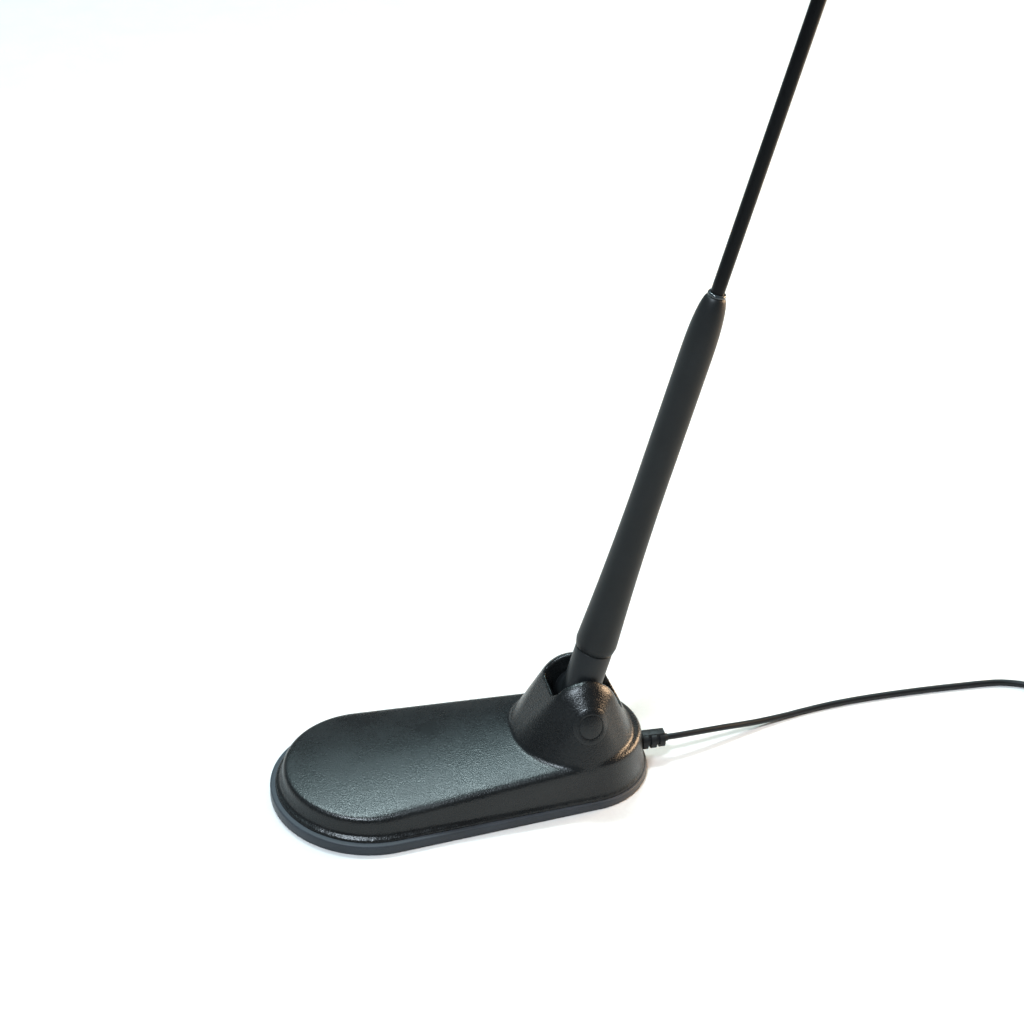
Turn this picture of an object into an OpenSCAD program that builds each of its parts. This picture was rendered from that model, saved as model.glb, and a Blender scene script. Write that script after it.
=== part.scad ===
// Roof-top cellular antenna with a magnetic foot, a folding mast and a coaxial lead.
// The origin is the centre of the underside. -X is the wide nose, +X is the tail with
// the mast turret and the lead, +Z is up. All sizes are in millimetres.

/* [Foot outline] */
// Radius of the wide nose end of the foot
nose_r = 27; // [25:0.5:28]
// Radius of the narrow tail end of the foot
tail_r = 20; // [19.5:0.1:20.5]
// Distance between the centres of the two end arcs
arc_span = 58; // [56:0.5:60]
// Height of the rubber rim at the nose
rim_nose_h = 3.4; // [3.2:0.1:3.6]
// Height of the rubber rim at the tail
rim_tail_h = 2.4; // [2.3:0.1:2.6]
// Thickness of the rubber floor under the magnets
boot_floor = 0.8; // [0.6:0.1:1]

/* [Housing] */
// How far the housing stands in from the rim at the nose
nose_inset = 2.3; // [2:0.1:2.6]
// How far the housing stands in from the rim at the tail
tail_inset = 1; // [0.8:0.1:1.2]
// Height of the shoulder at the middle of the foot
shoulder_h = 11.8; // [11.5:0.1:12.5]
// Rise of the top face for each millimetre towards the tail
top_slope = 0.08; // [0.07:0.005:0.09]
// How much the top face is crowned above its shoulder
crown = 1.7; // [1:0.1:2]
// Wall thickness of the housing
wall = 1.8; // [1.6:0.1:2]

/* [Turret] */
// Distance of the hinge axis behind the middle of the foot
hinge_x = 28.7; // [28:0.1:29.5]
// Height of the hinge axis
hinge_z = 24.6; // [24:0.1:25.5]
// Radius of the cheeks around the hinge axis
cheek_r = 9.6; // [9.2:0.1:10]
// Radius of the round foot of the turret
turret_foot_r = 18.4; // [18:0.1:18.6]
// Width of the slot that the knuckle swings in
slot_w = 12; // [11.8:0.1:12.4]

/* [Mast] */
// Lean of the mast behind the vertical
lean = 13.6; // [10:0.1:16]
// Lean in front of the vertical at the forward stop
forward_stop = 25; // [20:1:25]
// Lean behind the vertical at the rear stop
rear_stop = 84; // [80:1:84]
// Diameter of the knuckle's neck
neck_d = 10.3; // [10:0.1:10.5]
// Diameter of the sleeve at its lower end
sleeve_low_d = 11.5; // [11:0.1:12]
// Diameter of the straight part of the sleeve
sleeve_d = 8.5; // [8.3:0.1:9]
// Distance of the sleeve's lower end from the hinge axis
sleeve_start = 16.2; // [16:0.1:17]
// Distance of the sleeve's upper end from the hinge axis
sleeve_end = 124.4; // [120:0.1:126]
// Distance of the tip of the whip from the hinge axis
whip_tip = 285; // [240:1:320]
// Diameter of the whip over its jacket
whip_d = 3.6; // [3.4:0.1:4]

/* [Lead] */
// Outer diameter of the coaxial lead
lead_d = 1.8; // [1.8:0.1:1.8]
// Mean radius of the stored coil
coil_mean_r = 12.5; // [12:0.5:13]
// Width and height of the bundle of turns in the coil
coil_bundle = 10.8; // [10.8:0.1:11]

/* [Hidden] */

eps = 0.01;
round_fn = 64;
hull_fn = 40;
nose_x = -arc_span / 2;
tail_x = arc_span / 2;

// The rim's top is a plane that falls from the nose to the tail.
rim_slope = (rim_nose_h - rim_tail_h) / (arc_span + nose_r + tail_r);
rim_mid_h = rim_nose_h - rim_slope * (nose_r - nose_x);

// Radii of the housing's wall at its foot, of its hollow, and of what fits inside it
wall_nose_r = nose_r - nose_inset;
wall_tail_r = tail_r - tail_inset;
skirt_nose_r = wall_nose_r - wall;
skirt_tail_r = wall_tail_r - wall;
fit_gap = 0.2;
hollow_nose_r = skirt_nose_r - 1.1;
hollow_tail_r = skirt_tail_r - 1.2;
draft = 1.1;
shoulder_r = 1.7;

tray_h = 3;
tray_top = boot_floor + tray_h;
skirt_top = tray_top + 0.4;
iron_t = 1;
iron_top = tray_top + iron_t;
magnet_h = tray_h - 0.05;
magnets = [[-30, 11], [-3, 11], [22, 8]];
screw_spots = [[-30, 17], [-30, -17], [30, 10.5], [30, -10.5]];
boss_r = 2.8;
screw_r = 1.25;
screw_head_r = 2.3;
screw_head_h = 1.3;

board_z = iron_top + 1.4;
board_t = 1;
board_top = board_z + board_t;
board_x = [-17, 14];
board_w = 17;
board_spots = [[-14, 5.5], [-14, -5.5], [11, 6], [11, -6]];
spacer_r = 1.7;
board_screw_r = 0.95;

relief_z = 6.1;
relief_wall_x = 45;
relief_neck_r = 2.2;
relief_out_x = 47.9;
relief_end_x = 55.4;

// Stations across the hinge, measured from the mid plane
knuckle_half = 5.4;
washer_t = 0.4;
head_seat_y = 8.2;
head_h = 2;
head_r = 2.9;
cap_seat_y = 10.5;
cap_r = 5;
pin_r = 1.5;
nut_flat = 5.5;
nut_h = 2.2;
cheek_face_y = 13.4;

stud_r = 2.5;
stud_top = 26;
ferrule_r = 3.7;
ferrule_top = 31;
former_r = 1.6;
former_top = 116;
coil_r = 2.35;
coil_wire_r = 0.3;
coil_turns = 9;
coil_start = 40;
coil_pitch = 4;
core_r = 0.9;

// Route of the lead: out of the strain relief, down to the floor and along it to the coil
floor_z = 0.95;
tie_t = 0.6;
coil_lift = tie_t + 0.1;
coil_x = 202;
coil_y = 9;
lead_route = [
    [55.4, 0, 6.1], [59, 0.4, 5.9], [64, 1.5, 5.3], [69, 2.7, 4.6], [74, 4, 3.8], [79, 5.3, 2.9],
    [84, 6.6, 2.1], [89, 7.9, 1.5], [94, 9.1, 1.1], [100, 10.4, floor_z], [108, 11.7, floor_z],
    [117, 12.6, floor_z], [127, 13.1, floor_z], [138, 13.3, floor_z], [148, 13.2, floor_z],
    [158, 12.9, floor_z], [163, 12.1, floor_z], [168, 10.2, floor_z], [173, 7.3, floor_z],
    [178, 3.9, floor_z], [183, 0.3, 1.1], [188, -3, 1.3], [193, -5.7, 1.5], [198, -7.5, 1.6],
    [202, -8, 1.6]
];
// Route of the short end that leaves the coil for the connector
tail_route = [
    [219, 9, 10.6], [219.1, 12, 10.3], [219.2, 14, 9.8], [219.6, 19, 7.9], [220, 24, 5.8],
    [220, 29, 4.3], [220, 32, 4]
];
// Route of the part of the lead that lies inside the housing
inner_route = [
    [46, 0, 6.1], [43, 0, 6.1], [40, 0, 6.2], [36, 0, 6.6], [31, 0, 7.2], [26, 0, 7.8],
    [21, 0, 8.1], [16, 0, 8.1], [12, 0, 8.1]
];
// Route of the wire from the hinge contact down to the board
feed_route = [
    [28.7, 5.7, 17.38], [28.7, 5.6, 14], [28.4, 5.6, 11.6], [26.5, 5.4, 10.4], [22, 4.6, 9.7],
    [17, 3.6, 9.2], [13, 3, 8.4], [10, 3, 7.8]
];
feed_wire_r = 0.6;

conn_x = 220;
conn_y = 32;
conn_z = 4;
boot_len = 9;
body_len = 8;
nut_af = 8;
nut_len = 7;

// ---------------------------------------------------------------- shared shapes

// Outline of a plate with two round ends of radii r1 and r2, centred at x1 and x2, and with
// straight sides that are tangent to both
function plate_outline(x1, r1, x2, r2) =
    let (turn = asin((r1 - r2) / (x2 - x1)))
    concat(arc(x2, 0, r2, turn - 90, 90 - turn, 20), arc(x1, 0, r1, 90 - turn, 270 + turn, 28));

// Outline of the foot, set in or out by the radii of its ends
module plan(r1, r2) {
    polygon(plate_outline(nose_x, r1, tail_x, r2));
}

// Slab between two heights with the foot's outline
module plan_slab(r1, r2, z0, z1) {
    translate([0, 0, z0]) linear_extrude(z1 - z0) plan(r1, r2);
}

// Everything above a plane that has the height h at x = 0 and the given slope along X
module above_plane(h, slope) {
    translate([0, 0, h]) rotate([0, -atan(slope), 0]) translate([-150, -60, 0]) cube([300, 120, 60]);
}

// Everything below such a plane
module below_plane(h, slope) {
    translate([0, 0, h]) rotate([0, -atan(slope), 0]) translate([-150, -60, -60]) cube([300, 120, 60]);
}

// Round bar along Y between two stations
module bar_y(x, z, r, y0, y1) {
    translate([x, y0, z]) rotate([-90, 0, 0]) cylinder(r = r, h = y1 - y0, $fn = round_fn);
}

// Round bar along X between two stations
module bar_x(x0, x1, y, z, r) {
    translate([x0, y, z]) rotate([0, 90, 0]) cylinder(r = r, h = x1 - x0, $fn = round_fn);
}

// Upright round bar
module bar_z(x, y, z0, z1, r) {
    translate([x, y, z0]) cylinder(r = r, h = z1 - z0, $fn = round_fn);
}

// Places its children on the mast: their Z axis is the mast's axis, from the hinge up
module on_mast(angle = lean) {
    translate([hinge_x, 0, hinge_z]) rotate([0, angle, 0]) children();
}

// Points of an arc in a profile, from angle a0 to angle a1
function arc(cx, cy, r, a0, a1, n) =
    [for (i = [0 : n]) let (a = a0 + (a1 - a0) * i / n) [cx + r * cos(a), cy + r * sin(a)]];

function unit(v) = v / norm(v);

function along(p, i) = unit(p[min(i + 1, len(p) - 1)] - p[max(i - 1, 0)]);

// Ring of points round point i of a route, in a frame that keeps close to the vertical
function ring(p, i, r, sides) =
    let (t = along(p, i), ref = abs(t[2]) > 0.8 ? [0, 1, 0] : [0, 0, 1])
    let (a = unit(cross(t, ref)), b = cross(a, t))
    [for (k = [0 : sides - 1]) p[i] + r * (cos(360 * k / sides) * a + sin(360 * k / sides) * b)];

// Round tube swept along a route of points
module tube(p, r, sides) {
    n = len(p);
    points = [for (i = [0 : n - 1]) each ring(p, i, r, sides)];
    sides_faces = [
        for (i = [0 : n - 2]) for (k = [0 : sides - 1])
            let (a = i * sides + k, b = i * sides + (k + 1) % sides)
            each [[a, b, b + sides], [a, b + sides, a + sides]]
    ];
    start_face = [[for (k = [0 : sides - 1]) sides - 1 - k]];
    end_face = [[for (k = [0 : sides - 1]) (n - 1) * sides + k]];
    polyhedron(points, concat(sides_faces, start_face, end_face), convexity = 8);
}

// ---------------------------------------------------------------- foot

// Rubber boot: the floor under the magnets and the rim round the housing
module rubber_boot() {
    color([0.17, 0.19, 0.21])
    difference() {
        plan_slab(nose_r, tail_r, 0, 6);
        above_plane(rim_mid_h, -rim_slope);
        plan_slab(skirt_nose_r, skirt_tail_r, boot_floor, 7);
    }
}

// Plastic tray that holds the magnets and closes the housing
module bottom_tray() {
    color([0.13, 0.13, 0.14])
    difference() {
        plan_slab(skirt_nose_r - fit_gap, skirt_tail_r - fit_gap, boot_floor, tray_top);
        for (m = magnets) bar_z(m[0], 0, 0, 5, m[1] + 0.1);
        for (s = screw_spots) {
            bar_z(s[0], s[1], 0, 5, screw_r + 0.1);
            bar_z(s[0], s[1], 0, boot_floor + screw_head_h, screw_head_r + 0.2);
        }
    }
}

module magnet(i) {
    color([0.55, 0.56, 0.58])
    bar_z(magnets[i][0], 0, boot_floor, boot_floor + magnet_h, magnets[i][1]);
}

module front_magnet() { magnet(0); }
module middle_magnet() { magnet(1); }
module rear_magnet() { magnet(2); }

// Steel plate over the three magnets
module back_iron() {
    front = magnets[0];
    rear = magnets[2];
    margin = 0.4;
    color([0.6, 0.6, 0.62])
    difference() {
        translate([0, 0, tray_top]) linear_extrude(iron_t)
            polygon(plate_outline(front[0], front[1] + margin, rear[0], rear[1] + margin));
        for (s = board_spots) bar_z(s[0], s[1], 0, 8, board_screw_r + 0.03);
    }
}

// Four screws that hold the tray to the housing
module tray_screws() {
    color([0.7, 0.7, 0.72])
    for (s = screw_spots) {
        difference() {
            bar_z(s[0], s[1], boot_floor + 0.02, boot_floor + screw_head_h, screw_head_r);
            translate([s[0] - 1.6, s[1] - 0.3, boot_floor]) cube([3.2, 0.6, 0.6]);
            translate([s[0] - 0.3, s[1] - 1.6, boot_floor]) cube([0.6, 3.2, 0.6]);
        }
        bar_z(s[0], s[1], boot_floor + screw_head_h - eps, 7, screw_r - 0.02);
    }
}

// ---------------------------------------------------------------- housing

// Profile of one end of the housing: drafted wall, round shoulder and crowned top
function end_profile(r, h) =
    let (top_r = r - draft)
    concat(
        [[0, 1.5], [r, 1.5]],
        arc(top_r - shoulder_r, h - shoulder_r, shoulder_r, 8, 82, 5),
        [for (i = [1 : 5]) let (u = 1 - i / 5) [(top_r - shoulder_r) * u, h + crown * (1 - u * u)]]
    );

module housing_end(x, r) {
    translate([x, 0, 0])
    rotate_extrude($fn = hull_fn) polygon(end_profile(r, shoulder_h + top_slope * x));
}

// Outer form of the turret: a round foot that narrows to two rounded cheeks
module turret_form() {
    foot_x = 26.8;
    foot_z = 11.5;
    hull() {
        translate([foot_x, 0, foot_z - 3]) cylinder(r = turret_foot_r, h = 3, $fn = hull_fn);
        bar_hull(cheek_r, 6.4);
        bar_hull(cheek_r - 0.6, 8);
        bar_hull(cheek_r - 2.2, 9.6);
        bar_hull(4, cheek_face_y);
    }
}

// Round bar across the hinge for the turret's form, as far as half each way
module bar_hull(r, half) {
    translate([hinge_x - 0.3, -half, hinge_z - 0.1])
    rotate([-90, 0, 0]) cylinder(r = r, h = 2 * half, $fn = hull_fn);
}

// Space swept by the knuckle between its two stops
module knuckle_slot() {
    clear_r = slot_w / 2 - 0.2;
    corner_r = 2;
    corner_y = slot_w / 2 - 0.05 - corner_r;
    reach = 24;
    bar_y(hinge_x, hinge_z, slot_w / 2 + 0.1, -slot_w / 2, slot_w / 2);
    on_mast(-forward_stop) {
        translate([-clear_r, -corner_y, 0]) cube([clear_r, 2 * corner_y, reach]);
        translate([corner_r - clear_r, -slot_w / 2 + 0.05, 0]) cube([clear_r - corner_r, slot_w - 0.1, reach]);
        for (side = [-1, 1]) translate([corner_r - clear_r, side * corner_y, 0])
            cylinder(r = corner_r, h = reach, $fn = round_fn);
    }
    on_mast(rear_stop) cylinder(r = clear_r, h = reach, $fn = round_fn);
    translate([hinge_x, slot_w / 2, hinge_z]) rotate([90, 0, 0]) linear_extrude(slot_w)
        polygon(concat([[0, 0]], arc(0, 0, reach, 90 + forward_stop, 90 - rear_stop, 6)));
}

// Holes across the turret for the hinge screw, its nut and the two caps
module hinge_holes() {
    bar_y(hinge_x, hinge_z, pin_r + 0.03, -12, 12);
    bar_y(hinge_x, hinge_z, head_r + 0.15, -20, -head_seat_y);
    bar_y(hinge_x, hinge_z, cap_r + 0.05, -20, -cap_seat_y);
    bar_y(hinge_x, hinge_z, cap_r + 0.05, cap_seat_y, 20);
    translate([hinge_x, head_seat_y, hinge_z]) rotate([-90, 0, 0])
        cylinder(r = (nut_flat / 2 + 0.1) / cos(30), h = 12, $fn = 6);
}

module upper_housing() {
    ceiling = shoulder_h - wall;
    color([0.16, 0.17, 0.18])
    difference() {
        union() {
            difference() {
                union() {
                    hull() {
                        housing_end(nose_x, wall_nose_r);
                        housing_end(tail_x, wall_tail_r);
                    }
                    turret_form();
                }
                plan_slab(skirt_nose_r, skirt_tail_r, -1, skirt_top);
                difference() {
                    plan_slab(hollow_nose_r, hollow_tail_r, 2, 20);
                    above_plane(ceiling, top_slope);
                }
                below_plane(rim_mid_h + 0.02, -rim_slope);
            }
            intersection() {
                for (s = screw_spots) bar_z(s[0], s[1], tray_top + 0.05, 14, boss_r);
                below_plane(ceiling + 0.5, top_slope);
            }
        }
        for (s = screw_spots) bar_z(s[0], s[1], 3, 7.2, screw_r);
        knuckle_slot();
        hinge_holes();
        bar_x(relief_wall_x - 2, relief_out_x + 3, 0, relief_z, relief_neck_r + 0.05);
        // Way down for the contact lug's tail and the feed wire
        translate([hinge_x - 1.6, 4.7, 10]) cube([3.2, 1.9, hinge_z - 10]);
    }
}

// Ribbed strain relief that is held in the tail wall
module strain_relief() {
    rib_r = 2.7;
    rib_t = 1.5;
    rib_step = 2.45;
    flange_x = relief_wall_x - 0.4;
    flange_t = 1.5;
    flange_r = 3.2;
    color([0.1, 0.1, 0.11])
    difference() {
        union() {
            difference() {
                bar_x(flange_x - flange_t, flange_x, 0, relief_z, flange_r);
                translate([flange_x - 5, -flange_r, 0]) cube([10, 2 * flange_r, tray_top + 0.1]);
            }
            bar_x(flange_x - 0.1, relief_out_x + 0.1, 0, relief_z, relief_neck_r);
            bar_x(relief_out_x, relief_end_x, 0, relief_z, 1.7);
            for (i = [0 : 2])
                bar_x(relief_out_x + i * rib_step, relief_out_x + i * rib_step + rib_t, 0, relief_z, rib_r);
            translate([relief_out_x, -1.3, relief_z + 0.6]) cube([2 * rib_step + rib_t, 2.6, 2]);
        }
        bar_x(relief_wall_x - 3, relief_out_x, 0, relief_z, lead_d / 2 + 0.1);
    }
}

// ---------------------------------------------------------------- inside the housing

module matching_board() {
    color([0.1, 0.35, 0.2])
    difference() {
        translate([board_x[0], -board_w / 2, board_z])
            cube([board_x[1] - board_x[0], board_w, board_t]);
        for (s = board_spots) bar_z(s[0], s[1], board_z - 1, board_top + 1, board_screw_r + 0.1);
        bar_z(9, 3, board_z - 1, board_top + 1, 0.5);
    }
}

module board_spacers() {
    color([0.75, 0.62, 0.3])
    for (s = board_spots) difference() {
        bar_z(s[0], s[1], iron_top, board_z, spacer_r);
        bar_z(s[0], s[1], iron_top - 1, board_z + 1, board_screw_r + 0.05);
    }
}

module board_screws() {
    color([0.7, 0.7, 0.72])
    for (s = board_spots) {
        bar_z(s[0], s[1], board_top, board_top + 0.9, 1.5);
        bar_z(s[0], s[1], tray_top + 0.1, board_top + eps, board_screw_r);
    }
}

// Tin can over the matching network
module board_shield() {
    color([0.75, 0.75, 0.76])
    difference() {
        translate([-10, -5, board_top]) cube([9, 10, 1.3]);
        translate([-9.8, -4.8, board_top - 1]) cube([8.6, 9.6, 2.1]);
    }
}

// Wound chokes on the board
module board_inductors() {
    color([0.7, 0.35, 0.15])
    for (y = [-4.5, 0, 4.5]) difference() {
        bar_y(3.5, board_top + 1.15, 1.15, y - 1.6, y + 1.6);
        bar_y(3.5, board_top + 1.15, 0.5, y - 2, y + 2);
    }
}

// Saddle that holds the lead to the board
module lead_clamp() {
    color([0.72, 0.72, 0.74])
    difference() {
        translate([11.2, -2, board_top]) cube([2.4, 4, 2.1]);
        bar_x(10, 15, 0, 8.1, lead_d / 2 + 0.1);
        translate([10, -lead_d / 2 - 0.1, board_top - 1]) cube([5, lead_d + 0.2, 1.5]);
    }
}

module inner_lead() {
    color([0.1, 0.1, 0.1]) tube(inner_route, lead_d / 2, 8);
}

module feed_wire() {
    color([0.6, 0.1, 0.1]) tube(feed_route, feed_wire_r, 8);
}

// ---------------------------------------------------------------- hinge

module hinge_screw() {
    color([0.65, 0.65, 0.67])
    difference() {
        union() {
            bar_y(hinge_x, hinge_z, head_r, -head_seat_y - head_h, -head_seat_y);
            bar_y(hinge_x, hinge_z, pin_r, -head_seat_y - eps, head_seat_y + nut_h);
        }
        translate([hinge_x, -head_seat_y - head_h - 1, hinge_z]) rotate([-90, 0, 0])
            cylinder(r = 1.3, h = 2.1, $fn = 6);
    }
}

module hinge_nut() {
    color([0.65, 0.65, 0.67])
    difference() {
        translate([hinge_x, head_seat_y, hinge_z]) rotate([-90, 0, 0])
            cylinder(r = nut_flat / 2 / cos(30), h = nut_h, $fn = 6);
        bar_y(hinge_x, hinge_z, pin_r + 0.02, head_seat_y - 1, head_seat_y + nut_h + 1);
    }
}

// Round plug flush with the cheek, on side -1 (near) or 1 (far)
module hinge_cap(side) {
    color([0.15, 0.16, 0.17])
    intersection() {
        if (side < 0) bar_y(hinge_x, hinge_z, cap_r, -20, -cap_seat_y - 0.05);
        else bar_y(hinge_x, hinge_z, cap_r, cap_seat_y + 0.05, 20);
        turret_form();
    }
}

module near_hinge_cap() { hinge_cap(-1); }
module far_hinge_cap() { hinge_cap(1); }

module friction_washer() {
    color([0.7, 0.7, 0.7])
    difference() {
        bar_y(hinge_x, hinge_z, 3.6, -slot_w / 2, -slot_w / 2 + washer_t);
        bar_y(hinge_x, hinge_z, pin_r + 0.05, -slot_w / 2 - 1, -slot_w / 2 + washer_t + 1);
    }
}

// Brass tag under the knuckle's far face, with a tail down into the turret
module contact_lug() {
    lug_y = slot_w / 2 - washer_t;
    color([0.8, 0.65, 0.3])
    difference() {
        union() {
            bar_y(hinge_x, hinge_z, 3.2, lug_y, slot_w / 2);
            translate([hinge_x - 1.2, lug_y, hinge_z - 7.2]) cube([2.4, washer_t, 6]);
        }
        bar_y(hinge_x, hinge_z, pin_r + 0.05, lug_y - 1, slot_w / 2 + 1);
    }
}

// Foot of the mast: a round barrel on the hinge with a neck for the sleeve
module knuckle() {
    barrel_r = 5.1;
    color([0.17, 0.18, 0.19])
    difference() {
        union() {
            bar_y(hinge_x, hinge_z, barrel_r, -knuckle_half, knuckle_half);
            on_mast() cylinder(d = neck_d, h = sleeve_start - 0.1, $fn = round_fn);
        }
        bar_y(hinge_x, hinge_z, 2.3, -10, 10);
        on_mast() translate([0, 0, 7]) cylinder(r = stud_r, h = 20, $fn = round_fn);
    }
}

module hinge_bush() {
    color([0.8, 0.65, 0.3])
    difference() {
        bar_y(hinge_x, hinge_z, 2.3, -knuckle_half - 0.05, knuckle_half + 0.05);
        bar_y(hinge_x, hinge_z, pin_r + 0.05, -10, 10);
    }
}

module mast_stud() {
    color([0.8, 0.65, 0.3])
    on_mast() translate([0, 0, 7]) cylinder(r = stud_r, h = stud_top - 7, $fn = round_fn);
}

// ---------------------------------------------------------------- mast

// Radius of the sleeve at distance t from the hinge: flared foot, straight middle, round end
function sleeve_r(t) =
    let (flare_end = 70, nose_len = 18)
    let (flare = max(0, (flare_end - t) / (flare_end - sleeve_start)))
    let (u = max(0, (t - (sleeve_end - nose_len)) / nose_len))
    let (straight = sleeve_d / 2 + (sleeve_low_d - sleeve_d) / 2 * pow(flare, 1.8))
    let (chamfer = neck_d / 2 + 0.1 + 0.2 * (t - sleeve_start))
    min(chamfer, 2.1 + (straight - 2.1) * sqrt(1 - pow(u, 2.4)));

module mast_sleeve() {
    lower = concat(
        [sleeve_start, sleeve_start + 2.4],
        [for (i = [1 : 10]) sleeve_start + i * (70 - sleeve_start) / 10]
    );
    upper = [for (i = [0 : 12]) sleeve_end - 18 + 18 * sin(i * 90 / 12)];
    stations = concat(lower, upper);
    color([0.19, 0.2, 0.21])
    on_mast() difference() {
        rotate_extrude($fn = round_fn)
            polygon(concat([[0, sleeve_start]], [for (t = stations) [sleeve_r(t), t]], [[0, sleeve_end]]));
        translate([0, 0, sleeve_start - 1]) cylinder(r = ferrule_r, h = ferrule_top - sleeve_start + 1, $fn = round_fn);
        cylinder(r = 2.9, h = former_top + 0.2, $fn = round_fn);
        cylinder(r = whip_d / 2 + 0.02, h = sleeve_end + 5, $fn = round_fn);
    }
}

// Threaded brass insert in the sleeve's foot
module mast_ferrule() {
    color([0.8, 0.65, 0.3])
    on_mast() difference() {
        translate([0, 0, sleeve_start + 0.1])
            cylinder(r = ferrule_r - 0.02, h = ferrule_top - sleeve_start - 0.2, $fn = round_fn);
        translate([0, 0, sleeve_start - 1])
            cylinder(r = stud_r + 0.05, h = stud_top - sleeve_start + 1.5, $fn = round_fn);
    }
}

module coil_former() {
    color([0.85, 0.83, 0.7])
    on_mast() difference() {
        translate([0, 0, ferrule_top]) cylinder(r = former_r, h = former_top - ferrule_top, $fn = round_fn);
        translate([0, 0, former_top - 10]) cylinder(r = core_r, h = 20, $fn = round_fn);
    }
}

// Open helix of copper wire round the former
module phasing_coil() {
    steps = 12;
    turns_pts = [
        for (i = [0 : coil_turns * steps])
            [coil_r * cos(360 * i / steps), coil_r * sin(360 * i / steps), coil_start + coil_pitch * i / steps]
    ];
    color([0.75, 0.4, 0.2])
    on_mast() tube(turns_pts, coil_wire_r, 6);
}

module whip_core() {
    color([0.7, 0.7, 0.72])
    on_mast() translate([0, 0, former_top - 10])
        cylinder(r = core_r - 0.02, h = whip_tip - 3.9 - former_top + 10, $fn = round_fn);
}

module whip_jacket() {
    color([0.08, 0.08, 0.09])
    on_mast() difference() {
        translate([0, 0, former_top + 0.1])
            cylinder(d = whip_d, h = whip_tip - 4 - former_top, $fn = round_fn);
        cylinder(r = core_r, h = whip_tip, $fn = round_fn);
    }
}

// Small ring where the whip leaves the sleeve
module whip_collar() {
    color([0.3, 0.32, 0.33])
    on_mast() difference() {
        translate([0, 0, sleeve_end + 0.05]) cylinder(r = 2.4, h = 0.9, $fn = round_fn);
        cylinder(r = whip_d / 2 + 0.02, h = sleeve_end + 5, $fn = round_fn);
    }
}

module tip_cap() {
    cap_low = whip_tip - 10;
    r = whip_d / 2 + 0.5;
    color([0.08, 0.08, 0.09])
    on_mast() difference() {
        rotate_extrude($fn = round_fn)
            polygon(concat([[0, cap_low]], [[r, cap_low]], arc(0, whip_tip - r, r, 0, 90, 8)));
        cylinder(r = whip_d / 2 + 0.02, h = whip_tip - 3.8, $fn = round_fn);
    }
}

// ---------------------------------------------------------------- lead and connector

module coax_lead() {
    color([0.07, 0.07, 0.07]) tube(lead_route, lead_d / 2, 8);
}

// Outer form of the coiled turns
module coax_coil() {
    inner = coil_mean_r - coil_bundle / 2;
    outer = coil_mean_r + coil_bundle / 2;
    bevel = 1.5;
    color([0.07, 0.07, 0.07])
    translate([coil_x, coil_y, coil_lift]) rotate_extrude($fn = round_fn)
        polygon([
            [inner + bevel, 0], [outer, 0], [outer, coil_bundle - bevel],
            [outer - bevel, coil_bundle], [inner + bevel, coil_bundle],
            [inner, coil_bundle - bevel], [inner, bevel]
        ]);
}

// Strap round the bundle, on the side away from the foot
module coil_tie() {
    gap = 0.1;
    w = 4;
    low = coil_mean_r - coil_bundle / 2 - 0.4;
    high = coil_mean_r + coil_bundle / 2 + gap;
    color([0.1, 0.1, 0.1])
    translate([coil_x, coil_y, 0]) rotate([0, 0, 60])
    difference() {
        translate([low - tie_t, -w / 2, 0.02])
            cube([high - low + 2 * tie_t, w, coil_lift + coil_bundle + gap + tie_t]);
        translate([low, -w, tie_t + 0.05]) cube([high - low, 2 * w, coil_bundle + 2 * gap]);
    }
}

module lead_tail() {
    color([0.07, 0.07, 0.07]) tube(tail_route, lead_d / 2, 8);
}

// Places its children on the connector: their Z axis points out of its mouth
module on_connector(start = 0) {
    translate([conn_x, conn_y + start, conn_z]) rotate([-90, 0, 0]) children();
}

module connector_boot() {
    color([0.1, 0.1, 0.11])
    on_connector() rotate_extrude($fn = round_fn)
        polygon([[0, 0], [1.5, 0], [1.7, 3], [2.3, 6], [2.7, boot_len], [0, boot_len]]);
}

// Brass shell that the boot and the nut sit on
module connector_body() {
    color([0.82, 0.68, 0.35])
    on_connector(boot_len) difference() {
        union() {
            cylinder(r = 2.7, h = body_len - 3.5, $fn = round_fn);
            cylinder(r = 2.1, h = body_len, $fn = round_fn);
            translate([0, 0, body_len - 1]) cylinder(r = 2.6, h = 0.8, $fn = round_fn);
            cylinder(r = 2.2, h = body_len + 1.2, $fn = round_fn);
        }
        translate([0, 0, 3]) cylinder(r = 1.6, h = body_len, $fn = round_fn);
    }
}

module connector_insulator() {
    color([0.95, 0.95, 0.93])
    on_connector(boot_len + 3.05) difference() {
        cylinder(r = 1.58, h = body_len - 2, $fn = round_fn);
        translate([0, 0, -1]) cylinder(r = 0.46, h = body_len + 2, $fn = round_fn);
    }
}

module centre_pin() {
    color([0.85, 0.72, 0.35])
    on_connector(boot_len + 3.1) {
        cylinder(r = 0.45, h = body_len + 0.6, $fn = round_fn);
        translate([0, 0, body_len + 0.6 - eps]) cylinder(r1 = 0.45, r2 = 0.15, h = 0.6, $fn = round_fn);
    }
}

// Hexagon nut that turns on the body and screws onto the socket
module coupling_nut() {
    start = boot_len + body_len - 3.3;
    color([0.82, 0.68, 0.35])
    on_connector(start) difference() {
        intersection() {
            cylinder(r = nut_af / 2 / cos(30), h = nut_len, $fn = 6);
            rotate_extrude($fn = round_fn)
                polygon([[0, 0], [4.1, 0], [4.7, 0.8], [4.7, nut_len - 0.8], [4.1, nut_len], [0, nut_len]]);
        }
        translate([0, 0, -1]) cylinder(r = 2.3, h = 4, $fn = round_fn);
        translate([0, 0, 2]) cylinder(r = 3.1, h = nut_len, $fn = round_fn);
    }
}

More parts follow.
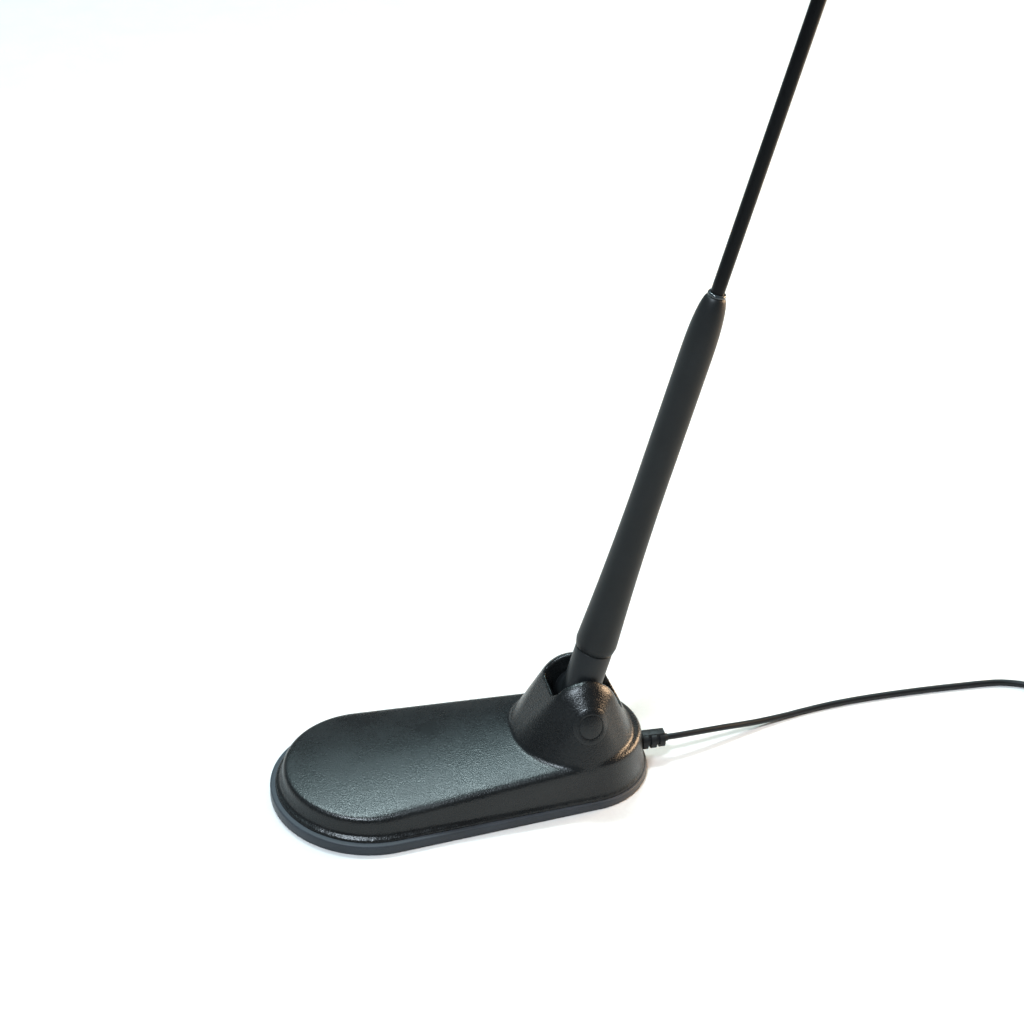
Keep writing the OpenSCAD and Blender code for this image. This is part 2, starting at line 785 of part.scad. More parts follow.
rubber_boot();
bottom_tray();
front_magnet();
middle_magnet();
rear_magnet();
back_iron();
tray_screws();
upper_housing();
matching_board();
board_spacers();
board_screws();
board_shield();
board_inductors();
lead_clamp();
inner_lead();
feed_wire();
strain_relief();
hinge_screw();
hinge_nut();
near_hinge_cap();
far_hinge_cap();
friction_washer();
contact_lug();
knuckle();
hinge_bush();
mast_stud();
mast_sleeve();
mast_ferrule();
coil_former();
phasing_coil();
whip_core();
whip_jacket();
whip_collar();
tip_cap();
coax_lead();
coax_coil();
coil_tie();
lead_tail();
connector_boot();
connector_body();
connector_insulator();
centre_pin();
coupling_nut();
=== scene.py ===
"""Looks of a vehicle-roof cellular antenna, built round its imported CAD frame.

The foot, the folding mast and the lead are modelled in millimetres of the CAD frame and end in
metres. -X is the wide nose, +X the tail with the turret and the lead, +Z is up.
"""

import logging
import math
from contextlib import contextmanager
from dataclasses import dataclass
from enum import Enum
from typing import Callable, Iterator, Sequence

import bmesh
import bpy
from mathutils import Matrix, Vector

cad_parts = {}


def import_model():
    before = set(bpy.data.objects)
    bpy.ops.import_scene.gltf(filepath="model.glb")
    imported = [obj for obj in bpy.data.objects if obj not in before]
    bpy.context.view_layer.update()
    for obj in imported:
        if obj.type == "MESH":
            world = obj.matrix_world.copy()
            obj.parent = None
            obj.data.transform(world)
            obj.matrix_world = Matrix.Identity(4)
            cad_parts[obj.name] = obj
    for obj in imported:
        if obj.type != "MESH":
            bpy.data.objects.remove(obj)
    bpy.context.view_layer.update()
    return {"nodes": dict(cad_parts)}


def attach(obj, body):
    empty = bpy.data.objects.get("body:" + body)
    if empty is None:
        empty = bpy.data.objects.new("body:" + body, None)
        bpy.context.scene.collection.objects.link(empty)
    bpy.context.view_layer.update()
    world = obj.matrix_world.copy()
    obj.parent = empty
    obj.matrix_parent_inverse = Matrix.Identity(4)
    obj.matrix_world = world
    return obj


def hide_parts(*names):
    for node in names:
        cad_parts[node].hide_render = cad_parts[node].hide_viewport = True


MM = 0.001
# Radius left at a pole, in millimetres, so that the last ring still has faces
POLE_R = 0.02
# Length of a cutter that only has to reach past the piece it cuts, in millimetres
PAST = 20.0

log = logging.getLogger("roof_antenna")

Point = tuple[float, float, float]
Station = tuple[float, float]


class Operation(Enum):
    """How two solids are put together."""

    DIFFERENCE = "DIFFERENCE"
    UNION = "UNION"
    INTERSECT = "INTERSECT"


class Solver(Enum):
    """Which method works out the combined solid: MANIFOLD is the quick one for even skins."""

    EXACT = "EXACT"
    MANIFOLD = "MANIFOLD"


class Side(Enum):
    """The two cheeks of the turret, by the sign of their Y."""

    NEAR = -1
    FAR = 1


# ------------------------------------------------------------------ modelling helpers


def clear_selection() -> None:
    """Leave edit mode and deselect every object."""
    if bpy.context.object and bpy.context.object.mode != "OBJECT":
        bpy.ops.object.mode_set(mode="OBJECT")
    bpy.ops.object.select_all(action="DESELECT")


def activate(obj: bpy.types.Object) -> None:
    """Make one object the only selected one and the active one.

    Args:
        obj: The object.
    """
    clear_selection()
    obj.select_set(True)
    bpy.context.view_layer.objects.active = obj


@contextmanager
def editing(obj: bpy.types.Object, mode: str = "FACE") -> Iterator[None]:
    """Edit an object, with everything selected at the start.

    Args:
        obj: The object to edit.
        mode: VERT, EDGE or FACE selection.

    Yields:
        Nothing; the object is in edit mode until the block ends.
    """
    activate(obj)
    bpy.ops.object.mode_set(mode="EDIT")
    bpy.ops.mesh.select_mode(type=mode)
    bpy.ops.mesh.select_all(action="SELECT")
    try:
        yield
    finally:
        bpy.ops.object.mode_set(mode="OBJECT")


def pick(obj: bpy.types.Object, kind: str, test: Callable[[Vector, Vector], bool]) -> None:
    """Select the faces or vertices of the object in edit mode that pass a test.

    Args:
        obj: The object in edit mode.
        kind: "faces" or "verts".
        test: Takes the place and the normal of an element.
    """
    bpy.ops.mesh.select_all(action="DESELECT")
    mesh = bmesh.from_edit_mesh(obj.data)
    for element in getattr(mesh, kind):
        place = element.calc_center_median() if kind == "faces" else element.co
        if test(place, element.normal):
            element.select_set(True)
    mesh.select_flush(True)
    bmesh.update_edit_mesh(obj.data)


def modify(obj: bpy.types.Object, kind: str, **settings: object) -> bpy.types.Object:
    """Add a modifier, set it and apply it.

    Args:
        obj: The object to change.
        kind: The modifier's type name.
        **settings: Attributes of the modifier.

    Returns:
        The object.
    """
    activate(obj)
    modifier = obj.modifiers.new(kind.lower(), kind)
    for name, value in settings.items():
        setattr(modifier, name, value)
    bpy.ops.object.modifier_apply(modifier=modifier.name)
    return obj


def bevelled(obj: bpy.types.Object, width: float, segments: int = 3,
             angle: float = 35) -> bpy.types.Object:
    """Round every edge sharper than an angle.

    Args:
        obj: The object to round.
        width: Width of the round, in millimetres.
        segments: How many flats make up the round.
        angle: Sharpest angle left alone, in degrees.

    Returns:
        The object.
    """
    return modify(
        obj, "BEVEL", width=width * MM, segments=segments, limit_method="ANGLE",
        angle_limit=math.radians(angle), use_clamp_overlap=True,
    )


def combine(obj: bpy.types.Object, other: bpy.types.Object,
            operation: Operation = Operation.DIFFERENCE,
            solver: Solver = Solver.EXACT) -> bpy.types.Object:
    """Cut, join or intersect an object with another, which is used up.

    Args:
        obj: The object that stays.
        other: The object that is used up.
        operation: How they are put together.
        solver: Which method works it out.

    Returns:
        The object that stays.
    """
    modify(obj, "BOOLEAN", object=other, operation=operation.value, solver=solver.value)
    bpy.data.objects.remove(other, do_unlink=True)
    return obj


def joined(parts: Sequence[bpy.types.Object]) -> bpy.types.Object:
    """Join several objects into the first one.

    Args:
        parts: The objects to join.

    Returns:
        The first object, which now holds them all.
    """
    activate(parts[0])
    for part in parts[1:]:
        part.select_set(True)
    bpy.ops.object.join()
    return parts[0]


def hulled(parts: Sequence[bpy.types.Object]) -> bpy.types.Object:
    """Replace several objects by their convex hull.

    Args:
        parts: The objects to wrap.

    Returns:
        The hull.
    """
    obj = joined(parts)
    with editing(obj, "VERT"):
        bpy.ops.mesh.convex_hull()
    return obj


def remeshed(obj: bpy.types.Object, voxel: float, smoothing: int) -> bpy.types.Object:
    """Turn overlapping closed shapes into one even skin and relax it.

    Args:
        obj: The object to remesh.
        voxel: Size of a voxel in millimetres.
        smoothing: How many smoothing passes follow.

    Returns:
        The object.
    """
    modify(obj, "REMESH", mode="VOXEL", voxel_size=voxel * MM, adaptivity=0.0)
    return modify(obj, "SMOOTH", factor=0.5, iterations=smoothing)


def placed(obj: bpy.types.Object, matrix: Matrix) -> bpy.types.Object:
    """Move an object by a matrix and apply the move to its mesh.

    Args:
        obj: The object to move.
        matrix: Where it goes.

    Returns:
        The object.
    """
    obj.matrix_world = matrix @ obj.matrix_world
    activate(obj)
    bpy.ops.object.transform_apply(location=True, rotation=True, scale=True)
    return obj


def smooth(obj: bpy.types.Object, angle: float = 40) -> bpy.types.Object:
    """Shade an object smooth, with edges over the angle kept sharp.

    Args:
        obj: The object to shade.
        angle: Flattest edge kept sharp, in degrees.

    Returns:
        The object.
    """
    activate(obj)
    bpy.ops.object.shade_smooth_by_angle(angle=math.radians(angle))
    return obj


def turned(stations: Sequence[Station], segments: int = 64, ring: bool = False) -> bpy.types.Object:
    """Turn a shape on the Z axis by extruding a circle from station to station.

    Args:
        stations: Radius and height of each station, in millimetres.
        segments: Number of sides.
        ring: Whether the stations go round a ring and meet again at the first one.

    Returns:
        The turned object, standing on the Z axis.
    """
    clear_selection()
    radius, height = stations[0]
    bpy.ops.mesh.primitive_circle_add(
        vertices=segments, radius=radius * MM, location=(0, 0, height * MM),
        fill_type="NOTHING" if ring else "NGON",
    )
    obj = bpy.context.object
    bpy.ops.object.transform_apply(location=True)
    loop = list(stations[1:]) + ([stations[0]] if ring else [])
    with editing(obj, "EDGE" if ring else "FACE"):
        for next_radius, next_height in loop:
            step = (0, 0, (next_height - height) * MM)
            bpy.ops.mesh.extrude_region_move(TRANSFORM_OT_translate={"value": step})
            scale = next_radius / radius
            bpy.ops.transform.resize(value=(scale, scale, 1), center_override=(0, 0, next_height * MM))
            radius, height = next_radius, next_height
        bpy.ops.mesh.select_all(action="SELECT")
        if ring:
            bpy.ops.mesh.remove_doubles(threshold=1e-6)
        bpy.ops.mesh.normals_make_consistent(inside=False)
    return obj


def bar(start: float, end: float, radius: float, segments: int = 64) -> bpy.types.Object:
    """Plain round bar on the Z axis, as a cutter or a blank.

    Args:
        start: Height of one end, in millimetres.
        end: Height of the other end.
        radius: Its radius.
        segments: Number of sides.

    Returns:
        The bar.
    """
    return turned([(radius, start), (radius, end)], segments)


def block(low: Point, high: Point) -> bpy.types.Object:
    """Box between two corners, as a cutter or a blank.

    Args:
        low: The corner with the lowest coordinates, in millimetres.
        high: The corner with the highest ones.

    Returns:
        The box.
    """
    clear_selection()
    size = [(b - a) * MM for a, b in zip(low, high)]
    middle = [(a + b) / 2 * MM for a, b in zip(low, high)]
    bpy.ops.mesh.primitive_cube_add(size=1, location=middle, scale=size)
    obj = bpy.context.object
    bpy.ops.object.transform_apply(location=True, scale=True)
    return obj


def arc(centre: Station, radius: float, start: float, end: float, steps: int) -> list[Station]:
    """Stations along an arc.

    Args:
        centre: The arc's centre, as a radius and a height.
        radius: The arc's own radius.
        start: Angle of the first station, in degrees from the outward direction.
        end: Angle of the last station.
        steps: How many stretches the arc is made of.

    Returns:
        One station more than there are steps.
    """
    angles = [math.radians(start + (end - start) * i / steps) for i in range(steps + 1)]
    return [(centre[0] + radius * math.cos(a), centre[1] + radius * math.sin(a)) for a in angles]


def own_material(obj: bpy.types.Object, material: bpy.types.Material) -> bpy.types.Object:
    """Give an object one material and no other.

    Args:
        obj: The object.
        material: Its material.

    Returns:
        The object.
    """
    obj.data.materials.clear()
    obj.data.materials.append(material)
    return obj


# ------------------------------------------------------------------ finishes


def linear(code: str) -> tuple[float, float, float, float]:
    """Turn an sRGB colour into a linear one.

    Args:
        code: The colour as a hash sign and six hex digits.

    Returns:
        Red, green, blue and a full alpha.
    """
    channels = [int(code[i:i + 2], 16) / 255 for i in (1, 3, 5)]
    values = [c / 12.92 if c <= 0.04045 else ((c + 0.055) / 1.055) ** 2.4 for c in channels]
    return (values[0], values[1], values[2], 1.0)


def add(tree: bpy.types.NodeTree, kind: str, inputs: dict | None = None,
        **settings: object) -> bpy.types.Node:
    """Add a node with its settings, and set or link its inputs.

    Args:
        tree: The node tree.
        kind: The node's type name.
        inputs: Input name or index to a value or to an output socket.
        **settings: Attributes of the node.

    Returns:
        The node.
    """
    node = tree.nodes.new(kind)
    for name, value in settings.items():
        setattr(node, name, value)
    for key, value in (inputs or {}).items():
        if isinstance(value, bpy.types.NodeSocket):
            tree.links.new(value, node.inputs[key])
        else:
            node.inputs[key].default_value = value
    return node


# The two noises multiplied lie between these values over most of a surface, so the colours and
# the roughness run from one end to the other there
BLEND_COLOURS = (0.12, 0.42)
BLEND_ROUGHNESS = (0.1, 0.45)
# Pits of a moulded grain are a little wider than the grain itself
PIT_SCALE = 0.8


@dataclass(frozen=True)
class Finish:
    """A finish with a fine grain in its surface.

    Attributes:
        name: Real material and process.
        low: Darker colour of the surface, sRGB hex.
        high: Lighter colour of the surface, sRGB hex.
        roughness: Mean roughness.
        roughness_spread: How far the roughness varies across the grain.
        grain_mm: Size of the moulded grain or of the drawn texture.
        relief_mm: Height of the grain.
        metallic: 1 for a metal.
        ior: Index of refraction.
        stretch: Scale of the pattern along X, Y and Z; a brushed metal is stretched along one.
        mottle_mm: Size of the slow variation of colour, such as handling and dust.
        sheen: Soft velvet light of rubber and worn plastic.
        coat: Clear layer, as on a polished jacket.
        specular: Level of the mirror light; under 0.5 where the grain shades itself.
    """

    name: str
    low: str
    high: str
    roughness: float
    roughness_spread: float = 0.06
    grain_mm: float = 0.5
    relief_mm: float = 0.01
    metallic: float = 0.0
    ior: float = 1.5
    stretch: Point = (1.0, 1.0, 1.0)
    mottle_mm: float = 14.0
    sheen: float = 0.0
    coat: float = 0.0
    specular: float = 0.5

    def build(self) -> bpy.types.Material:
        """Make the material, or return it if it has been made."""
        known = bpy.data.materials.get(self.name)
        if known:
            return known
        material = bpy.data.materials.new(self.name)
        material.use_nodes = True
        tree = material.node_tree
        shader = tree.nodes["Principled BSDF"]
        place = add(tree, "ShaderNodeTexCoord").outputs["Object"]
        place = add(tree, "ShaderNodeMapping", {
            "Vector": place, "Scale": self.stretch,
        }).outputs["Vector"]
        grain = add(tree, "ShaderNodeTexNoise", {
            "Vector": place, "Scale": 1 / (self.grain_mm * MM), "Detail": 3.0, "Roughness": 0.6,
        })
        cells = add(tree, "ShaderNodeTexVoronoi", {
            "Vector": place, "Scale": PIT_SCALE / (self.grain_mm * MM),
        })
        mottle = add(tree, "ShaderNodeTexNoise", {
            "Vector": place, "Scale": 1 / (self.mottle_mm * MM), "Detail": 4.0, "Roughness": 0.55,
        })
        height = add(tree, "ShaderNodeMath", {
            0: grain.outputs["Fac"], 1: cells.outputs["Distance"],
        }, operation="MULTIPLY_ADD")
        tree.links.new(grain.outputs["Fac"], height.inputs[2])
        blend = add(tree, "ShaderNodeMath", {
            0: grain.outputs["Fac"], 1: mottle.outputs["Fac"],
        }, operation="MULTIPLY")
        colour = add(tree, "ShaderNodeValToRGB", {"Fac": blend.outputs[0]})
        for stop, position, code in zip(colour.color_ramp.elements, BLEND_COLOURS, (self.low, self.high)):
            stop.position = position
            stop.color = linear(code)
        rough = add(tree, "ShaderNodeMapRange", {
            "Value": blend.outputs[0],
            "From Min": BLEND_ROUGHNESS[0],
            "From Max": BLEND_ROUGHNESS[1],
            "To Min": self.roughness - self.roughness_spread,
            "To Max": self.roughness + self.roughness_spread,
        })
        bump = add(tree, "ShaderNodeBump", {
            "Height": height.outputs[0], "Strength": 1.0, "Distance": self.relief_mm * MM,
        })
        tree.links.new(colour.outputs["Color"], shader.inputs["Base Color"])
        tree.links.new(rough.outputs["Result"], shader.inputs["Roughness"])
        tree.links.new(bump.outputs["Normal"], shader.inputs["Normal"])
        levels = {
            "Metallic": self.metallic, "IOR": self.ior, "Sheen Weight": self.sheen,
            "Coat Weight": self.coat, "Specular IOR Level": self.specular,
        }
        for name, level in levels.items():
            shader.inputs[name].default_value = level
        return material


# Spark-eroded ABS: near black, with a sparkling grain that lights up where the sky reflects. The
# real grain is about 0.2 mm, and it is drawn twice as coarse so that it shows
HOUSING_ABS = Finish(
    "ABS housing, spark-eroded grain", "#0e0f10", "#17191a",
    roughness=0.3, roughness_spread=0.08, grain_mm=0.42, relief_mm=0.05,
    specular=0.32,
)
# Chloroprene rubber: matt, a little bluish, with a soft bloom
BOOT_RUBBER = Finish(
    "Chloroprene rubber, moulded", "#1c2025", "#2c3138",
    roughness=0.6, roughness_spread=0.06, grain_mm=0.3, relief_mm=0.008,
    sheen=0.1, specular=0.35,
)
# Satin elastomer over the mast: soft, wide highlights along its length
SLEEVE_TPE = Finish(
    "Thermoplastic elastomer, satin moulded", "#101112", "#191b1c",
    roughness=0.46, roughness_spread=0.05, grain_mm=0.25, relief_mm=0.005,
    specular=0.24,
)
# Glass-filled nylon: harder and a little glossier than the sleeve above it
KNUCKLE_PA = Finish(
    "Glass-filled nylon, moulded", "#111314", "#1a1c1e",
    roughness=0.4, roughness_spread=0.06, grain_mm=0.3, relief_mm=0.008,
    specular=0.32,
)
# Extruded jacket: smoother and glossier than the moulded parts, with faint lines along it
WHIP_PVC = Finish(
    "PVC whip jacket, extruded", "#060607", "#0c0d0e",
    roughness=0.32, roughness_spread=0.05, grain_mm=0.35, relief_mm=0.003,
    stretch=(1.0, 1.0, 0.15), specular=0.12,
)
# Extruded coax jacket: even black with a thin highlight
LEAD_PVC = Finish(
    "PVC coax jacket, extruded", "#0c0d0e", "#15171a",
    roughness=0.36, roughness_spread=0.05, grain_mm=0.3, relief_mm=0.003,
    specular=0.3,
)
# Soft PVC over the lead's ends: dull black that hides its own ribs
RELIEF_PVC = Finish(
    "PVC strain relief, moulded soft", "#0b0c0d", "#141618",
    roughness=0.5, roughness_spread=0.06, grain_mm=0.25, relief_mm=0.006,
    specular=0.3,
)
# Polished ABS ring: a small bright line at the end of the sleeve
COLLAR_ABS = Finish(
    "ABS collar, polished", "#202426", "#33383a",
    roughness=0.16, roughness_spread=0.04, grain_mm=0.3, relief_mm=0.001,
)
# Fine matt ABS: the tray's grey-black, out of sight under the foot
TRAY_ABS = Finish(
    "ABS tray, fine matt", "#151617", "#202223",
    roughness=0.55, roughness_spread=0.06, grain_mm=0.4, relief_mm=0.01,
)
# Tumbled nickel: bright, with soft edges to its reflections
NICKEL = Finish(
    "Nickel plate on magnet, tumbled", "#9fa3a6", "#bfc3c6",
    roughness=0.28, roughness_spread=0.06, grain_mm=0.4, relief_mm=0.003,
    metallic=1.0,
)
# Rolled steel under zinc: cool grey with lines along the sheet
ZINC = Finish(
    "Zinc plate on steel, rolled", "#8d9194", "#b4b8ba",
    roughness=0.4, roughness_spread=0.08, grain_mm=0.5, relief_mm=0.004,
    metallic=1.0, stretch=(1.0, 0.08, 1.0),
)
# Headed and plated steel: bright silver grey
SCREW_STEEL = Finish(
    "Zinc-plated steel screw, headed", "#9a9c9e", "#c3c5c6",
    roughness=0.33, roughness_spread=0.06, grain_mm=0.3, relief_mm=0.003,
    metallic=1.0,
)
# Solder mask on glass-epoxy: deep green under a clear gloss
LAMINATE = Finish(
    "Glass-epoxy laminate, solder mask", "#0e3a22", "#17552f",
    roughness=0.35, roughness_spread=0.05, grain_mm=0.4, relief_mm=0.006,
    coat=0.3,
)
# Drawn tin can: soft silver
TINPLATE = Finish(
    "Tinned steel can, drawn", "#a6a8a9", "#c9cacb",
    roughness=0.3, roughness_spread=0.06, grain_mm=0.4, relief_mm=0.003,
    metallic=1.0,
)
# Enamelled wire: red brown metal
COPPER = Finish(
    "Enamelled copper wire, wound", "#8e3f1f", "#c0683a",
    roughness=0.3, roughness_spread=0.06, grain_mm=0.3, relief_mm=0.004,
    metallic=1.0,
)
# Machined brass: yellow, with tool lines round it
BRASS = Finish(
    "Brass, machined", "#a98a4a", "#cfae68",
    roughness=0.3, roughness_spread=0.07, grain_mm=0.3, relief_mm=0.004,
    metallic=1.0, stretch=(1.0, 1.0, 6.0),
)
# Hook-up wire: plain red jacket
WIRE_PVC = Finish(
    "PVC hook-up wire, red", "#6d0f0f", "#8f1a18",
    roughness=0.42, roughness_spread=0.05, grain_mm=0.3, relief_mm=0.004,
)
# Pultruded rod: straw yellow with fibres along it
FORMER_ROD = Finish(
    "Glass-fibre rod, pultruded", "#b8b08a", "#d6cfaa",
    roughness=0.45, roughness_spread=0.06, grain_mm=0.4, relief_mm=0.006,
    stretch=(1, 1, 0.1),
)
# Drawn spring steel: grey with fine lines along it
WHIP_STEEL = Finish(
    "Spring steel wire, drawn", "#8e9092", "#b6b8ba",
    roughness=0.3, roughness_spread=0.06, grain_mm=0.3, relief_mm=0.003,
    metallic=1.0, stretch=(1, 1, 0.1),
)
# Gold over turned brass: warm yellow, clean reflections
GOLD_PLATE = Finish(
    "Gold plate on brass, turned", "#c79a45", "#e6be6c",
    roughness=0.22, roughness_spread=0.05, grain_mm=0.25, relief_mm=0.003,
    metallic=1.0,
)
# Turned PTFE: waxy white
PTFE = Finish(
    "PTFE insulator, turned", "#d9dad6", "#eceded",
    roughness=0.45, roughness_spread=0.05, grain_mm=0.3, relief_mm=0.004,
    ior=1.35,
)
# Matt paper: pale grey without a reflection
PAPER = Finish(
    "Paper floor, matt", "#bcb9b7", "#c2c0be",
    roughness=0.9, roughness_spread=0.02, grain_mm=1.2, relief_mm=0.002,
)

CAD_FINISHES: dict[Finish, tuple[str, ...]] = {
    TRAY_ABS: ("bottom_tray",),
    NICKEL: ("front_magnet", "middle_magnet", "rear_magnet"),
    ZINC: ("back_iron",),
    SCREW_STEEL: ("tray_screws", "board_screws", "hinge_screw", "hinge_nut", "friction_washer"),
    LAMINATE: ("matching_board",),
    TINPLATE: ("board_shield", "lead_clamp"),
    COPPER: ("board_inductors", "phasing_coil"),
    BRASS: ("board_spacers", "contact_lug", "hinge_bush", "mast_stud", "mast_ferrule"),
    WIRE_PVC: ("feed_wire",),
    LEAD_PVC: ("inner_lead",),
    FORMER_ROD: ("coil_former",),
    WHIP_STEEL: ("whip_core",),
    PTFE: ("connector_insulator",),
    GOLD_PLATE: ("centre_pin",),
}


def dressed(obj: bpy.types.Object, name: str, body: str, node: str, finish: Finish,
            angle: float = 40) -> bpy.types.Object:
    """Name a piece, shade it, give it its finish and tie it to its body.

    Args:
        obj: The piece.
        name: Its name.
        body: The body it rides on.
        node: The CAD node that it stands for.
        finish: Its finish.
        angle: Flattest edge kept sharp, in degrees.

    Returns:
        The piece.
    """
    obj.name = name
    smooth(own_material(obj, finish.build()), angle)
    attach(obj, body)
    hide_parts(node)
    log.info("%s: %d faces, on %s", name, len(obj.data.polygons), body)
    return obj


# ------------------------------------------------------------------ the object's own measures


@dataclass(frozen=True)
class Measures:
    """Sizes that several sub-assemblies share, in millimetres, as in the CAD frame.

    Attributes:
        nose_x: Centre of the foot's nose arc.
        tail_x: Centre of its tail arc.
        nose_r: Radius of the nose arc.
        tail_r: Radius of the tail arc.
        rim_nose_h: Height of the rubber rim at the nose.
        rim_tail_h: Height of the rim at the tail.
        hinge_x: Place of the hinge along the foot.
        hinge_z: Height of the hinge.
        lean: Mast's lean at rest, in degrees behind the vertical.
        slot_half: Half the width of the slot that the knuckle swings in.
        lead_d: Diameter of the lead.
        relief_z: Height of the lead where it leaves the foot.
        relief_out: Where the strain relief comes out of the tail wall.
    """

    nose_x: float = -29.0
    tail_x: float = 29.0
    nose_r: float = 27.0
    tail_r: float = 20.0
    rim_nose_h: float = 3.4
    rim_tail_h: float = 2.4
    hinge_x: float = 28.7
    hinge_z: float = 24.6
    lean: float = 13.6
    slot_half: float = 6.0
    lead_d: float = 1.8
    relief_z: float = 6.1
    relief_out: float = 47.9

    @property
    def rim_slope(self) -> float:
        """Fall of the rim's top for each millimetre towards the tail."""
        length = self.tail_x - self.nose_x + self.nose_r + self.tail_r
        return (self.rim_nose_h - self.rim_tail_h) / length

    @property
    def rim_mid_h(self) -> float:
        """Height of the rim's top at the middle of the foot."""
        return self.rim_nose_h - self.rim_slope * (self.nose_r - self.nose_x)

    def on_mast(self, angle: float | None = None) -> Matrix:
        """Matrix that lays the Z axis along the mast, from the hinge up.

        Args:
            angle: The mast's lean in degrees, or None for its lean at rest.

        Returns:
            The matrix.
        """
        turn = math.radians(self.lean if angle is None else angle)
        hinge = Vector((self.hinge_x, 0, self.hinge_z)) * MM
        return Matrix.Translation(hinge) @ Matrix.Rotation(turn, 4, "Y")

    def across_hinge(self, offset: Point = (0, 0, 0)) -> Matrix:
        """Matrix that lays the Z axis along +Y through the hinge.

        Args:
            offset: Shift from the hinge, in millimetres.

        Returns:
            The matrix.
        """
        hinge = Vector((self.hinge_x + offset[0], offset[1], self.hinge_z + offset[2])) * MM
        return Matrix.Translation(hinge) @ Matrix.Rotation(math.radians(-90), 4, "X")


SIZES = Measures()


# Sides of the circle that the foot's outline starts from
OUTLINE_SIDES = 144
# The foot's straight sides leave the nose arc at this angle from the foot's length, in degrees
SIDE_TANGENT = 84


def foot_slab(nose_r: float, tail_r: float, low: float, high: float,
              tilted: bool = False) -> bpy.types.Object:
    """Slab with the foot's tapered outline.

    Args:
        nose_r: Radius of the nose end in millimetres.
        tail_r: Radius of the tail end.
        low: Height of the underside.
        high: Height of the top.
        tilted: Whether the top falls towards the tail as the rim does.

    Returns:
        The slab.
    """
    clear_selection()
    centre = (SIZES.nose_x * MM, 0, low * MM)
    bpy.ops.mesh.primitive_circle_add(
        vertices=OUTLINE_SIDES, radius=nose_r * MM, location=centre, fill_type="NGON")
    obj = bpy.context.object
    bpy.ops.object.transform_apply(location=True)
    tangent = nose_r * math.cos(math.radians(SIDE_TANGENT)) * MM
    with editing(obj, "VERT"):
        pick(obj, "verts", lambda place, _: place.x - SIZES.nose_x * MM > tangent)
        bpy.ops.transform.resize(value=(tail_r / nose_r, tail_r / nose_r, 1), center_override=centre)
        bpy.ops.transform.translate(value=((SIZES.tail_x - SIZES.nose_x) * MM, 0, 0))
        bpy.ops.mesh.select_mode(type="FACE")
        bpy.ops.mesh.select_all(action="SELECT")
        bpy.ops.mesh.extrude_region_move(TRANSFORM_OT_translate={"value": (0, 0, (high - low) * MM)})
        if tilted:
            bpy.ops.transform.rotate(
                value=-math.atan(SIZES.rim_slope), orient_axis="Y", center_override=(0, 0, high * MM))
        bpy.ops.mesh.select_all(action="SELECT")
        bpy.ops.mesh.normals_make_consistent(inside=False)
    return obj


# ------------------------------------------------------------------ the foot


